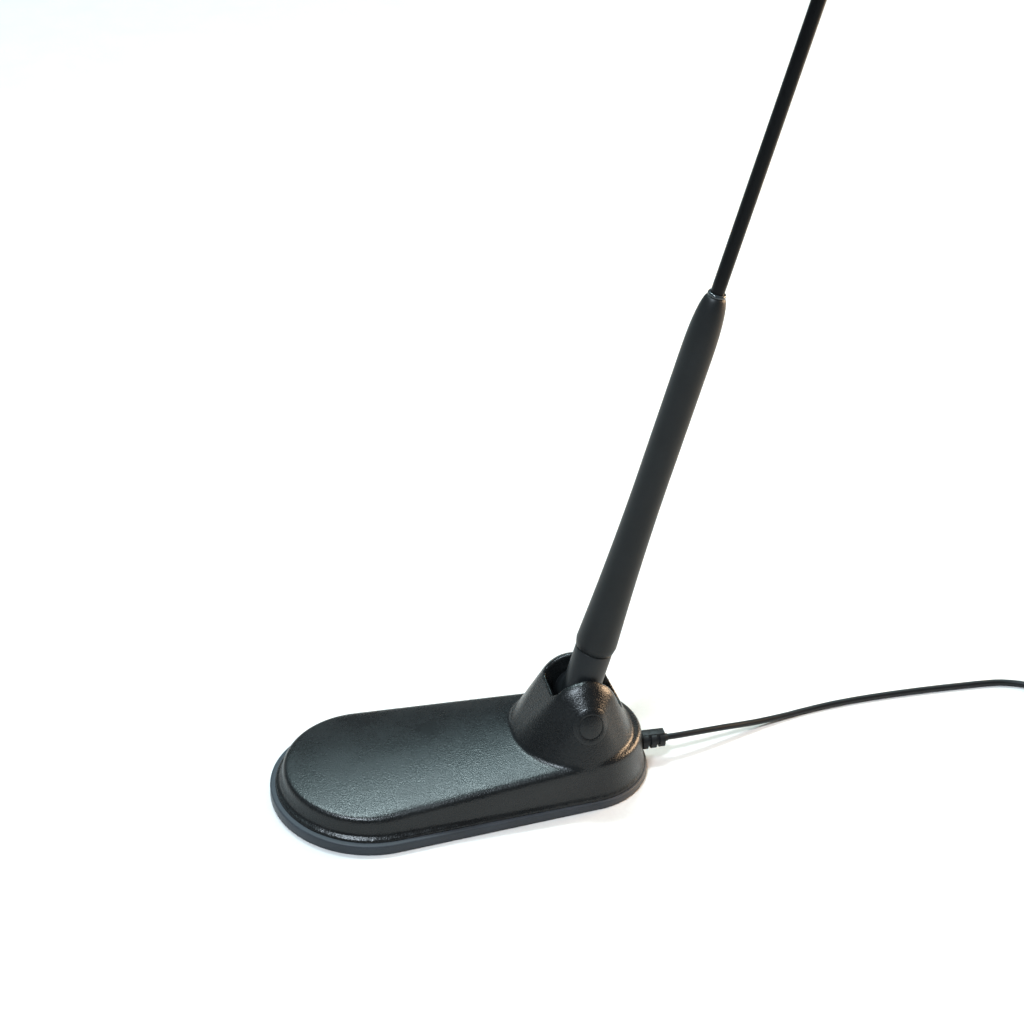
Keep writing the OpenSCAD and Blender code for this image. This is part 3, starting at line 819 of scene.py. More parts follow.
@dataclass
class Foot:
    """The rubber boot, the housing with its turret, the hinge caps and the strain relief.

    Attributes:
        nose_inset: Step from the boot's outline in to the housing's, at the nose.
        tail_inset: The same step at the tail.
        rim_round: Round on the rubber rim.
        boot_floor: Thickness of the rubber under the foot.
        wall_foot_h: Height where the housing's wall starts.
        wall_lean: Angle where the wall runs into its shoulder, in degrees.
        shoulder_h: Height of the shoulder at the middle of the foot.
        shoulder_r: Radius of the shoulder.
        top_slope: Rise of the top for each millimetre towards the tail.
        crown: Bulge of the top over its edge.
        draft: How far the wall leans in.
        wall: Thickness of the wall.
        roof_h: Height of the hollow's roof at the middle of the foot.
        flange_step: How far the flange at the wall's foot stands out, at the nose and at the tail.
        flange_low: Height of its underside.
        flange_over: Height of its top over the rubber rim.
        rim_gap: Gap between the rubber rim and the flange.
        skirt_h: Height up to which the wall has its plain thickness.
        hollow_step: How much further in the hollow is above that, at the nose and at the tail.
        outlet_r: Radius of the hole for the lead.
        outlet_x: Middle of that hole, in the tail wall.
        turret_x: Centre of the turret's round foot.
        turret_z: Height where the turret starts to narrow.
        turret_foot_r: Radius of the turret's foot.
        turret_axis: Shift of the turret's round top from the hinge.
        cheek_r: Radius of the turret's round top.
        cheek_rings: Drop below that radius, and distance from the middle plane, of the rings that
            round the cheek off.
        cheek_face: Drop and distance of the cheek's flat face.
        forward_stop: The mast's lean at its front stop, in degrees before the vertical.
        rear_stop: The mast's lean at its rear stop, behind the vertical.
        slot_corner_r: Radius in the corners of the slot's square front.
        slot_reach: Length of the slot along the mast, past the top of the turret.
        cap_r: Radius of a hinge cap.
        cap_seat_y: Distance of the caps' seats from the middle plane.
        ring_r: Inner and outer radius of the ring pressed in a cap.
        ring_depth: Depth of that ring.
        relief_r: Radius of the strain relief's first rib.
        rib_pitch: Distance from one rib to the next.
        rib_w: Width of a rib.
        ribs: Number of ribs.
        voxel: Size of a voxel of the housing's skin.
    """

    nose_inset: float = 2.3
    tail_inset: float = 1.0
    rim_round: float = 0.55
    boot_floor: float = 0.8
    wall_foot_h: float = 2.0
    wall_lean: float = 6.0
    shoulder_h: float = 11.8
    shoulder_r: float = 1.7
    top_slope: float = 0.08
    crown: float = 1.7
    draft: float = 1.1
    wall: float = 1.8
    roof_h: float = 9.0
    flange_step: Station = (0.9, 0.35)
    flange_low: float = 1.6
    flange_over: float = 0.9
    rim_gap: float = 0.12
    skirt_h: float = 4.2
    hollow_step: Station = (1.1, 1.2)
    outlet_r: float = 2.25
    outlet_x: float = 46.0
    turret_x: float = 26.8
    turret_z: float = 11.5
    turret_foot_r: float = 18.4
    turret_axis: Point = (-0.3, 0, -0.1)
    cheek_r: float = 9.6
    cheek_rings: tuple[Station, ...] = ((0, 6.4), (0.25, 7.3), (0.75, 8.2), (1.5, 9.1), (2.4, 9.9))
    cheek_face: Station = (5.6, 13.4)
    forward_stop: float = 25.0
    rear_stop: float = 84.0
    slot_corner_r: float = 2.0
    slot_reach: float = 24.0
    cap_r: float = 5.0
    cap_seat_y: float = 10.5
    ring_r: Station = (3.2, 3.38)
    ring_depth: float = 0.12
    relief_r: float = 2.7
    rib_pitch: float = 2.45
    rib_w: float = 1.5
    ribs: int = 3
    voxel: float = 0.42

    def boot(self) -> bpy.types.Object:
        """Model the rubber boot: a tapered tub with a rounded rim.

        Returns:
            The boot.
        """
        obj = foot_slab(SIZES.nose_r, SIZES.tail_r, 0, SIZES.rim_mid_h, tilted=True)
        inside = (SIZES.nose_r - self.nose_inset - self.wall, SIZES.tail_r - self.tail_inset - self.wall)
        combine(obj, foot_slab(*inside, self.boot_floor, self.roof_h))
        bevelled(obj, self.rim_round, segments=4, angle=50)
        return dressed(obj, "boot_skin", "foot", "rubber_boot", BOOT_RUBBER)

    def end_dome(self, x: float, radius: float) -> bpy.types.Object:
        """One end of the housing: drafted wall, round shoulder, crowned top.

        Args:
            x: The end's centre along the foot.
            radius: Its radius at its foot.

        Returns:
            The end, as a turned solid.
        """
        height = self.shoulder_h + self.top_slope * x
        inner = radius - self.draft - self.shoulder_r
        stations = [(radius, self.wall_foot_h)]
        stations += arc((inner, height - self.shoulder_r), self.shoulder_r, self.wall_lean, 84, 8)
        steps = 9
        for i in range(1, steps + 1):
            u = 1 - i / steps
            stations.append((max(inner * u, POLE_R), height + self.crown * (1 - u * u)))
        return placed(turned(stations, 160), Matrix.Translation((x * MM, 0, 0)))

    def turret(self, shrink: float = 0.0) -> bpy.types.Object:
        """Turret's outer form: a hull from its round foot to the bars across its top.

        Args:
            shrink: How far the form is set in.

        Returns:
            The solid form.
        """
        base = bar(self.turret_z - 3, self.turret_z, self.turret_foot_r - shrink, 128)
        placed(base, Matrix.Translation((self.turret_x * MM, 0, 0)))
        rings = [
            placed(bar(shrink - half, half - shrink, self.cheek_r - drop - shrink, 96),
                   SIZES.across_hinge(self.turret_axis))
            for drop, half in (*self.cheek_rings, self.cheek_face)
        ]
        return hulled([base] + rings)

    def slot_cutters(self) -> list[bpy.types.Object]:
        """Space that the knuckle swings through between its two stops.

        Returns:
            The barrel's space, the round rear end, the square front end and the fan between them.
        """
        half, reach = SIZES.slot_half, self.slot_reach
        barrel = placed(bar(-half, half, half + 0.1, 96), SIZES.across_hinge())
        rear = placed(bar(0, reach, half - 0.05, 96), SIZES.on_mast(self.rear_stop))
        # The front block's rounded rear edges lie inside the fan, so they leave no ridge
        front = block((-half + 0.2, -half + 0.05, 0), (half, half - 0.05, reach))
        bevelled(front, self.slot_corner_r, segments=8, angle=40)
        placed(front, SIZES.on_mast(-self.forward_stop))
        steps = 10
        sweep = self.rear_stop + self.forward_stop
        fan = hulled([
            placed(block((-0.05, -half, 0), (0.05, half, reach)),
                   SIZES.on_mast(sweep * i / steps - self.forward_stop))
            for i in range(steps + 1)
        ])
        return [barrel, rear, front, fan]

    def housing(self) -> bpy.types.Object:
        """Model the housing: two domed ends and the turret in one skin, hollow below.

        Returns:
            The housing.
        """
        nose = SIZES.nose_r - self.nose_inset
        tail = SIZES.tail_r - self.tail_inset
        shell = hulled([self.end_dome(SIZES.nose_x, nose), self.end_dome(SIZES.tail_x, tail)])
        flange = foot_slab(nose + self.flange_step[0], tail + self.flange_step[1], self.flange_low,
                           SIZES.rim_mid_h + self.flange_over, tilted=True)
        skin = remeshed(joined([shell, self.turret(), flange]), self.voxel, smoothing=4)
        for cutter in self.slot_cutters():
            combine(skin, cutter, solver=Solver.MANIFOLD)
        remeshed(skin, self.voxel, smoothing=2)
        for cutter in self.seats_and_hollow(nose - self.wall, tail - self.wall):
            combine(skin, cutter, solver=Solver.MANIFOLD)
        return dressed(skin, "housing_skin", "foot", "upper_housing", HOUSING_ABS,
                       angle=50)

    def seats_and_hollow(self, nose: float, tail: float) -> Iterator[bpy.types.Object]:
        """Cutters for the two cap seats, the boot's rim, the hollow and the lead's outlet.

        Args:
            nose: Radius of the hollow's nose end.
            tail: Radius of its tail end.

        Yields:
            Each cutter in turn.
        """
        for low, high in ((-PAST, -self.cap_seat_y), (self.cap_seat_y, PAST)):
            yield placed(bar(low, high, self.cap_r + 0.05, 96), SIZES.across_hinge())
        yield foot_slab(SIZES.nose_r + 2, SIZES.tail_r + 2, -3, SIZES.rim_mid_h + self.rim_gap, tilted=True)
        yield foot_slab(nose, tail, -4, self.skirt_h)
        hollow = foot_slab(nose - self.hollow_step[0], tail - self.hollow_step[1], -4, self.roof_h)
        with editing(hollow, "FACE"):
            pick(hollow, "faces", lambda place, normal: normal.z > 0.9)
            bpy.ops.transform.rotate(value=math.atan(self.top_slope), orient_axis="Y",
                                     center_override=(0, 0, self.roof_h * MM))
        yield hollow
        yield placed(bar(-5, 5, self.outlet_r, 48), self.out_of_tail(self.outlet_x))

    def out_of_tail(self, x: float) -> Matrix:
        """Matrix that lays the Z axis along the lead's way out of the foot.

        Args:
            x: Where the axis starts.

        Returns:
            The matrix.
        """
        place = Vector((x, 0, SIZES.relief_z)) * MM
        return Matrix.Translation(place) @ Matrix.Rotation(math.radians(90), 4, "Y")

    def cap(self, side: Side) -> bpy.types.Object:
        """Model one hinge cap: a round plug that follows the cheek, with a ring pressed in it.

        Args:
            side: Which cheek it sits in.

        Returns:
            The cap.
        """
        low, high = sorted((side.value * (self.cap_seat_y + 0.1), side.value * PAST))
        obj = placed(bar(low, high, self.cap_r, 96), SIZES.across_hinge())
        combine(obj, self.turret(), Operation.INTERSECT)
        inner, outer = self.ring_r
        ring = placed(turned([(inner, low - 1), (inner, high + 1), (outer, high + 1), (outer, low - 1)],
                             96, ring=True), SIZES.across_hinge())
        combine(ring, self.turret(self.ring_depth))
        combine(obj, ring)
        bevelled(obj, 0.05, segments=2, angle=40)
        word = side.name.lower()
        return dressed(obj, f"{word}_cap_skin", "foot", f"{word}_hinge_cap", HOUSING_ABS,
                       angle=35)

    def relief(self) -> bpy.types.Object:
        """Model the strain relief in the tail wall: flange, ribs joined by a spine, and a nozzle.

        Returns:
            The strain relief.
        """
        flange_r, hole_r = 3.2, 2.15
        stations: list[Station] = [(1.0, -4.5), (flange_r, -4.5), (flange_r, -3.0), (hole_r, -3.0),
                                   (hole_r, -0.05), (self.relief_r, 0.0)]
        for i in range(self.ribs):
            start = i * self.rib_pitch
            radius = self.relief_r - 0.12 * i
            stations += [(radius, start + 0.02), (radius, start + self.rib_w)]
            if i < self.ribs - 1:
                stations += [(1.75, start + self.rib_w + 0.05), (1.75, start + self.rib_pitch - 0.05)]
        stations += [(1.25, 6.45), (1.05, 7.5)]
        obj = turned(stations, 48)
        last_rib = (self.ribs - 1) * self.rib_pitch + self.rib_w
        spine = block((0.7, -1.2, 0), (2.5, 1.2, last_rib))
        combine(obj, placed(spine, Matrix.Rotation(math.radians(180), 4, "Z")), Operation.UNION)
        bevelled(obj, 0.15, segments=2, angle=40)
        placed(obj, self.out_of_tail(SIZES.relief_out))
        return dressed(obj, "strain_relief_skin", "foot", "strain_relief", RELIEF_PVC)

    def build(self) -> None:
        """Model every visible piece of the foot."""
        self.boot()
        self.housing()
        for side in Side:
            self.cap(side)
        self.relief()


# ------------------------------------------------------------------ the mast


@dataclass
class Mast:
    """The knuckle, the sleeve, its collar, the whip and its tip.

    Heights are distances from the hinge along the mast.

    Attributes:
        neck_d: Diameter of the knuckle's neck.
        barrel_r: Radius of the barrel on the hinge.
        barrel_half: Half the barrel's width.
        pin_r: Radius of the hole for the hinge's bush.
        stud_r: Radius of the hole for the stud.
        sleeve_low_d: Diameter of the sleeve at its foot.
        sleeve_d: Diameter of the sleeve's straight part.
        sleeve_start: Height of the sleeve's foot.
        sleeve_end: Height of its end.
        flare_end: Height where the flare has run out.
        flare_power: How fast the flare runs out.
        nose_len: Length of the sleeve's round end.
        nose_end_r: Radius of the sleeve's very end.
        nose_power: How full the round end is; 2 would be an ellipse.
        chamfer_rise: Growth of the sleeve's foot for each millimetre along it.
        bore_r: Radius of the bore round the coil.
        ferrule_r: Radius of the wider bore round the ferrule.
        ferrule_end: Height of the ferrule's end.
        whip_d: Diameter of the whip's jacket.
        core_r: Radius of the bore in the jacket.
        whip_start: Height of the jacket's lower end, inside the sleeve.
        whip_tip: Height of the tip.
        tip_len: Length of the cap on the tip.
        fit: Gap between the whip and what is slipped over it.
    """

    neck_d: float = 10.3
    barrel_r: float = 5.1
    barrel_half: float = 5.4
    pin_r: float = 2.3
    stud_r: float = 2.5
    sleeve_low_d: float = 11.5
    sleeve_d: float = 8.5
    sleeve_start: float = 16.2
    sleeve_end: float = 124.4
    flare_end: float = 70.0
    flare_power: float = 1.8
    nose_len: float = 18.0
    nose_end_r: float = 2.1
    nose_power: float = 2.4
    chamfer_rise: float = 0.2
    bore_r: float = 2.9
    ferrule_r: float = 3.7
    ferrule_end: float = 31.0
    whip_d: float = 3.6
    core_r: float = 0.92
    whip_start: float = 116.2
    whip_tip: float = 285.0
    tip_len: float = 10.0
    fit: float = 0.02

    def knuckle(self) -> bpy.types.Object:
        """Model the knuckle: a barrel on the hinge that runs into a round neck.

        Returns:
            The knuckle.
        """
        neck_r = self.neck_d / 2
        top = self.sleeve_start - 0.15
        neck = turned([(neck_r - 0.4, 0), (neck_r, 0.4), (neck_r, top - 0.5),
                       (neck_r - 0.15, top - 0.15), (neck_r - 0.5, top)], 96)
        placed(neck, SIZES.on_mast())
        barrel = bar(-self.barrel_half, self.barrel_half, self.barrel_r, 96)
        obj = combine(neck, placed(barrel, SIZES.across_hinge()), Operation.UNION)
        combine(obj, placed(bar(-9, 9, self.pin_r), SIZES.across_hinge()))
        combine(obj, placed(bar(7, 30, self.stud_r), SIZES.on_mast()))
        bevelled(obj, 0.35, angle=40)
        return dressed(obj, "knuckle_skin", "mast_foot", "knuckle", KNUCKLE_PA)

    def sleeve_r(self, t: float) -> float:
        """Radius of the sleeve: chamfered foot, flare, straight part and round end.

        Args:
            t: Distance from the hinge.

        Returns:
            The radius there.
        """
        flare = max(0.0, (self.flare_end - t) / (self.flare_end - self.sleeve_start))
        u = min(1.0, max(0.0, (t - (self.sleeve_end - self.nose_len)) / self.nose_len))
        straight = self.sleeve_d / 2 + (self.sleeve_low_d - self.sleeve_d) / 2 * flare**self.flare_power
        chamfer = self.neck_d / 2 + 0.1 + self.chamfer_rise * (t - self.sleeve_start)
        nose = self.nose_end_r + (straight - self.nose_end_r) * math.sqrt(1 - u**self.nose_power)
        return min(chamfer, nose)

    def sleeve(self) -> bpy.types.Object:
        """Model the sleeve, up its outside and down its bore.

        Returns:
            The sleeve.
        """
        start, end = self.sleeve_start, self.sleeve_end
        lip = self.sleeve_r(start)
        stations = [(self.ferrule_r, start), (lip - 0.3, start), (lip - 0.08, start + 0.06)]
        stations += [(self.sleeve_r(start + rise), start + rise) for rise in (0.25, 1.0, 1.9)]
        # The chamfer's end is eased over two stations
        stations += [(self.sleeve_r(start + rise) - ease, start + rise)
                     for rise, ease in ((2.4, 0.03), (3, 0.005))]
        steps = 22
        run = self.flare_end - start - 4
        stations += [(self.sleeve_r(t), t) for t in (start + 4 + i * run / steps for i in range(steps + 1))]
        # The round end's stations crowd towards its tip, as equal angles do
        steps = 20
        for i in range(steps + 1):
            t = end - self.nose_len * (1 - math.sin(math.radians(i * 90 / steps)))
            stations.append((self.sleeve_r(t), t))
        throat = self.whip_d / 2 + self.fit
        stations += [(throat, end), (throat, end - 8), (self.bore_r, end - 8.2),
                     (self.bore_r, self.ferrule_end), (self.ferrule_r, self.ferrule_end)]
        obj = placed(turned(stations, 96, ring=True), SIZES.on_mast())
        return dressed(obj, "sleeve_skin", "mast", "mast_sleeve", SLEEVE_TPE)

    def collar(self) -> bpy.types.Object:
        """Model the small ring where the whip leaves the sleeve.

        Returns:
            The ring.
        """
        low, high, inner = self.sleeve_end + 0.05, self.sleeve_end + 0.95, self.whip_d / 2 + self.fit
        stations = [(inner, low), (2.3, low), (2.4, low + 0.12), (2.4, high - 0.3),
                    (2.3, high - 0.1), (2.15, high), (inner, high)]
        obj = placed(turned(stations, ring=True), SIZES.on_mast())
        return dressed(obj, "collar_skin", "mast", "whip_collar", COLLAR_ABS)

    def whip(self) -> bpy.types.Object:
        """Model the whip's jacket, a long tube over the steel core.

        Returns:
            The jacket.
        """
        radius, low, end = self.whip_d / 2, self.whip_start, self.whip_tip - 3.9
        stations = [(self.core_r, low), (radius - 0.1, low), (radius, low + 0.2)]
        steps = 12
        stations += [(radius, low + 0.2 + i * (end - low - 0.4) / steps) for i in range(1, steps + 1)]
        stations += [(radius - 0.1, end), (self.core_r, end)]
        obj = placed(turned(stations, 48, ring=True), SIZES.on_mast())
        return dressed(obj, "whip_skin", "mast", "whip_jacket", WHIP_PVC)

    def tip(self) -> bpy.types.Object:
        """Model the rubber cap on the tip, with a rolled lower edge.

        Returns:
            The cap.
        """
        low, radius, inner = self.whip_tip - self.tip_len, self.whip_d / 2 + 0.5, self.whip_d / 2 + self.fit
        roof = self.whip_tip - 3.8
        stations = [(0.3, roof), (inner, roof), (inner, low), (radius - 0.15, low),
                    (radius, low + 0.2), (radius, low + 1.3), (radius - 0.12, low + 1.5),
                    (radius - 0.12, low + 2.0), (radius - 0.02, low + 2.2)]
        stations += arc((0, self.whip_tip - radius), radius - 0.02, 0, 88, 10)
        obj = placed(turned(stations, 48), SIZES.on_mast())
        return dressed(obj, "tip_skin", "mast", "tip_cap", RELIEF_PVC)

    def build(self) -> None:
        """Model every visible piece of the mast."""
        for make in (self.knuckle, self.sleeve, self.collar, self.whip, self.tip):
            make()


# ------------------------------------------------------------------ the lead


@dataclass
class Lead:
    """The coaxial lead, its coil and tie, and the connector on its end.

    Attributes:
        length: Length of the real lead.
        coil_x: Coil's centre along the foot.
        coil_y: Coil's centre across it.
        coil_lift: Height of the coil's underside.
        coil_mean_r: Mean radius of the turns.
        rows: Turns beside each other in a layer.
        layers: Layers on top of each other.
        coil_half: Half the height and half the width of the wound coil.
        conn_x: Connector's place along the foot.
        conn_y: Where its boot starts.
        conn_z: Height of its axis.
        boot_len: Length of the connector's boot.
        nut_start: Where the nut's back is, from the start of the boot.
        nut_across: Nut's width across its flats.
        nut_len: Length of the nut.
        thread_r: Radius of the thread's crests and of its grooves.
        thread_pitch: Distance between two threads.
        threads: Number of threads.
        on_floor: Height of the lead's axis where it lies on the floor.
        route: Places the lead passes on its way to the coil: down to the floor, along it, and
            round a bend.
        tail_route: Places it passes from the coil's top to the connector.
    """

    length: float = 3000.0
    coil_x: float = 202.0
    coil_y: float = 9.0
    coil_lift: float = 0.7
    coil_mean_r: float = 12.5
    rows: int = 6
    layers: int = 6
    coil_half: float = 5.4
    conn_x: float = 220.0
    conn_y: float = 32.0
    conn_z: float = 4.0
    boot_len: float = 9.0
    nut_start: float = 13.7
    nut_across: float = 8.0
    nut_len: float = 7.0
    thread_r: Station = (3.1, 3.28)
    thread_pitch: float = 0.7
    threads: int = 6
    on_floor: float = 0.95
    route: tuple[Point, ...] = (
        (55.4, 0, 6.1), (59, 0.4, 5.9), (64, 1.5, 5.3), (69, 2.7, 4.6), (74, 4, 3.8), (79, 5.3, 2.9),
        (84, 6.6, 2.1), (89, 7.9, 1.5), (94, 9.1, 1.1), (100, 10.4, on_floor), (108, 11.7, on_floor),
        (117, 12.6, on_floor), (127, 13.1, on_floor), (138, 13.3, on_floor), (148, 13.2, on_floor),
        (158, 12.9, on_floor), (163, 12.1, on_floor), (168, 10.2, on_floor), (173, 7.3, on_floor),
        (178, 3.9, on_floor), (183, 0.3, 1.1), (188, -3, 1.3), (193, -5.7, 1.5), (198, -7.5, 1.6),
        (202, -8, 1.6),
    )
    tail_route: tuple[Point, ...] = (
        (219.1, 12, 10.3), (219.2, 14, 9.8), (219.6, 19, 7.9), (220, 24, 5.8), (220, 29, 4.3),
        (220, 32, 4),
    )

    def turns(self) -> list[Point]:
        """Centreline of the coiled turns, from where the lead meets the coil to where it leaves.

        Each layer winds from the outside in or from the inside out, one diameter above the last.

        Returns:
            The points, in millimetres.
        """
        pitch = SIZES.lead_d
        outer = self.coil_mean_r + (self.rows - 1) / 2 * pitch
        start_z = self.coil_lift + pitch / 2
        # The last quarter turn brings the lead round to the connector's side
        total = self.rows * self.layers + 0.25
        shift = self.rows - 1
        points: list[Point] = []
        steps = 24
        for i in range(1, int(total * steps) + 1):
            turn = i / steps
            layer, within = divmod(turn, self.rows)
            moved = min(1.0, within / shift) * shift
            depth = moved if layer % 2 == 0 else shift - moved
            climb = max(0.0, within - shift) if layer < self.layers - 1 else 0
            radius = outer - depth * pitch
            angle = -math.pi / 2 + turn * 2 * math.pi
            points.append((
                self.coil_x + radius * math.cos(angle),
                self.coil_y + radius * math.sin(angle),
                start_z + (min(layer, self.layers - 1) + climb) * pitch,
            ))
        return points

    def centreline(self) -> list[Vector]:
        """Whole centreline of the lead, smoothed between its points.

        Returns:
            The points, in metres.
        """
        free = smoothed([Vector(p) for p in self.route], 6)
        coil = [Vector(p) for p in self.turns()]
        tail = smoothed([Vector(p) for p in self.tail_route], 6)
        return [p * MM for p in free + coil + tail]

    def flex(self) -> bpy.types.Object:
        """Model the lead as one round curve along its whole centreline.

        Returns:
            The curve.
        """
        points = self.centreline()
        data = bpy.data.curves.new("lead_flex", "CURVE")
        data.dimensions = "3D"
        data.bevel_depth = SIZES.lead_d / 2 * MM
        data.bevel_resolution = 3
        data.use_fill_caps = True
        spline = data.splines.new("POLY")
        spline.points.add(len(points) - 1)
        for knot, place in zip(spline.points, points):
            knot.co = (*place, 1.0)
            knot.radius = 1.0
        spline.use_smooth = True
        obj = bpy.data.objects.new("lead_flex", data)
        bpy.context.scene.collection.objects.link(obj)
        data.materials.append(LEAD_PVC.build())
        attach(obj, "foot")
        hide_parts("coax_lead", "coax_coil", "lead_tail")
        run = sum((b - a).length for a, b in zip(points, points[1:]))
        log.info("lead_flex: %d points, %.3f m", len(points), run)
        return obj

    def tie(self) -> bpy.types.Object:
        """Model the strap round one side of the coil: a band with rounded corners.

        Returns:
            The strap.
        """
        low = self.coil_mean_r - self.coil_half - 0.4
        high = self.coil_mean_r + self.coil_half + 0.1
        tall = self.coil_lift + self.coil_half * 2 + 0.1
        thick, half_w = 0.6, 2
        band = block((low - thick, -half_w, 0.02), (high + thick, half_w, tall + thick))
        bevelled(band, 1.2, segments=4, angle=60)
        combine(band, block((low, -2 * half_w, 0.62), (high, 2 * half_w, tall)))
        bevelled(band, 0.15, segments=2, angle=40)
        centre = Vector((self.coil_x, self.coil_y, 0)) * MM
        placed(band, Matrix.Translation(centre) @ Matrix.Rotation(math.radians(60), 4, "Z"))
        return dressed(band, "tie_skin", "foot", "coil_tie", RELIEF_PVC)

    def on_connector(self, start: float = 0.0) -> Matrix:
        """Matrix that lays the Z axis along the connector, out of its mouth.

        Args:
            start: Distance from the start of the boot.

        Returns:
            The matrix.
        """
        place = Vector((self.conn_x, self.conn_y + start, self.conn_z)) * MM
        return Matrix.Translation(place) @ Matrix.Rotation(math.radians(-90), 4, "X")

    def connector_boot(self) -> bpy.types.Object:
        """Model the tapered, ringed boot of the connector.

        Returns:
            The boot.
        """
        stations: list[Station] = [(0.95, 0.0), (1.4, 0.0), (1.5, 0.2)]
        rings, pitch = 4, 1.5
        for i in range(rings):
            base = 0.6 + i * pitch
            crest = 1.55 + 0.16 * i
            groove = crest - 0.2
            stations += [(crest, base), (crest, base + 0.7), (groove, base + 0.9), (groove, base + 1.3)]
        end = self.boot_len
        stations += [(2.3, 6.8), (2.6, 7.6), (2.7, 8.2), (2.7, end - 0.2), (2.5, end - 0.02)]
        obj = placed(turned(stations, 48), self.on_connector())
        return dressed(obj, "connector_boot_skin", "foot", "connector_boot", RELIEF_PVC)

    def connector_body(self) -> bpy.types.Object:
        """Model the gold-plated shell of the connector with its snap ring.

        Returns:
            The shell.
        """
        low, cup_r, wire_r = 0.02, 1.6, 0.4
        stations: list[Station] = [
            (cup_r, 3.0), (wire_r, 3.0), (wire_r, low), (2.5, low), (2.7, low + 0.2), (2.7, 4.3),
            (2.5, 4.5), (2.1, 4.5), (2.1, 7.0), (2.6, 7.05), (2.6, 7.75), (2.2, 7.8), (2.2, 9.1),
            (2.1, 9.2), (cup_r, 9.2),
        ]
        obj = placed(turned(stations, ring=True), self.on_connector(self.boot_len))
        return dressed(obj, "connector_body_skin", "foot", "connector_body", GOLD_PLATE)

    def coupling_nut(self) -> bpy.types.Object:
        """Model the hexagon nut with chamfered corners and threads inside its mouth.

        Returns:
            The nut.
        """
        length = self.nut_len
        corner = self.nut_across / 2 / math.cos(math.radians(30))
        # A flat lies downwards, so that no corner reaches below the floor
        obj = placed(bar(0, length, corner, 6), Matrix.Rotation(math.radians(30), 4, "Z"))
        chamfers = [(4.1, -0.01), (4.66, 0.8), (4.66, length - 0.8), (4.1, length + 0.01)]
        combine(obj, turned(chamfers, 96), Operation.INTERSECT)
        crest, groove = self.thread_r
        stations: list[Station] = [(2.3, -1), (2.3, 2.0), (crest, 2.02)]
        for i in range(self.threads):
            base = 2.4 + i * self.thread_pitch
            stations += [(crest, base), (groove, base + 0.3), (crest, base + 0.6)]
        stations += [(crest, length - 0.3), (3.45, length + 0.02), (3.45, length + 1)]
        combine(obj, turned(stations))
        bevelled(obj, 0.12, segments=2, angle=25)
        placed(obj, self.on_connector(self.nut_start))
        return dressed(obj, "coupling_nut_skin", "nut", "coupling_nut", GOLD_PLATE)

    def build(self, nodes: dict[str, bpy.types.Object]) -> None:
        """Args:
            nodes: The CAD nodes by name.
        """
        flex = self.flex()
        pieces = [self.tie(), self.connector_boot(), self.connector_body(), self.coupling_nut(),
                  nodes["connector_insulator"], nodes["centre_pin"]]
        tuple(v * MM for v in self.route[0])


def smoothed(points: Sequence[Vector], steps: int) -> list[Vector]:
    """Points along a Catmull-Rom curve through the given points.

    Args:
        points: The points that the curve goes through.
        steps: How many points each stretch gets.

    Returns:
        The points of the curve, from the first given point to the last.
    """
    ends = [points[0] * 2 - points[1], *points, points[-1] * 2 - points[-2]]
    line: list[Vector] = []
    for a, b, c, d in zip(ends, ends[1:], ends[2:], ends[3:]):
        for i in range(steps):
            t = i / steps
            line.append(((b * 2) + (c - a) * t + (a * 2 - b * 5 + c * 4 - d) * t**2
                         + (b * 3 - a - c * 3 + d) * t**3) / 2)
    line.append(points[-1].copy())
    return line


# ------------------------------------------------------------------ the studio


@dataclass(frozen=True)
class Lamp:
    """A rectangular soft light, hung round the foot.

    Attributes:
        name: What the light does.
        azimuth: Degrees round from -Y, over +X.
        elevation: Degrees above the floor.
        distance: Metres from the foot.
        aim: What it points at, in metres.
        size: Width and height in metres.
        power: Power in watts.
        colour: Its colour, sRGB hex.
    """

    name: str
    azimuth: float
    elevation: float
    distance: float
    aim: Point
    size: Station
    power: float
    colour: str

    def place(self) -> Vector:
        """Where the light hangs, in metres."""
        a, e = math.radians(self.azimuth), math.radians(self.elevation)
        out = self.distance * math.cos(e)
        return Vector((out * math.sin(a), -out * math.cos(a), self.distance * math.sin(e)))

    def hang(self) -> None:
        """Add the light, turned to its aim."""
        data = bpy.data.lights.new(self.name, "AREA")
        data.shape = "RECTANGLE"
        data.size, data.size_y = self.size
        data.energy = self.power
        data.color = linear(self.colour)[:3]
        obj = bpy.data.objects.new(self.name, data)
        turn = (Vector(self.aim) - self.place()).to_track_quat("-Z", "Y").to_matrix().to_4x4()
        obj.matrix_world = Matrix.Translation(self.place()) @ turn
        obj.visible_camera = False
        bpy.context.scene.collection.objects.link(obj)


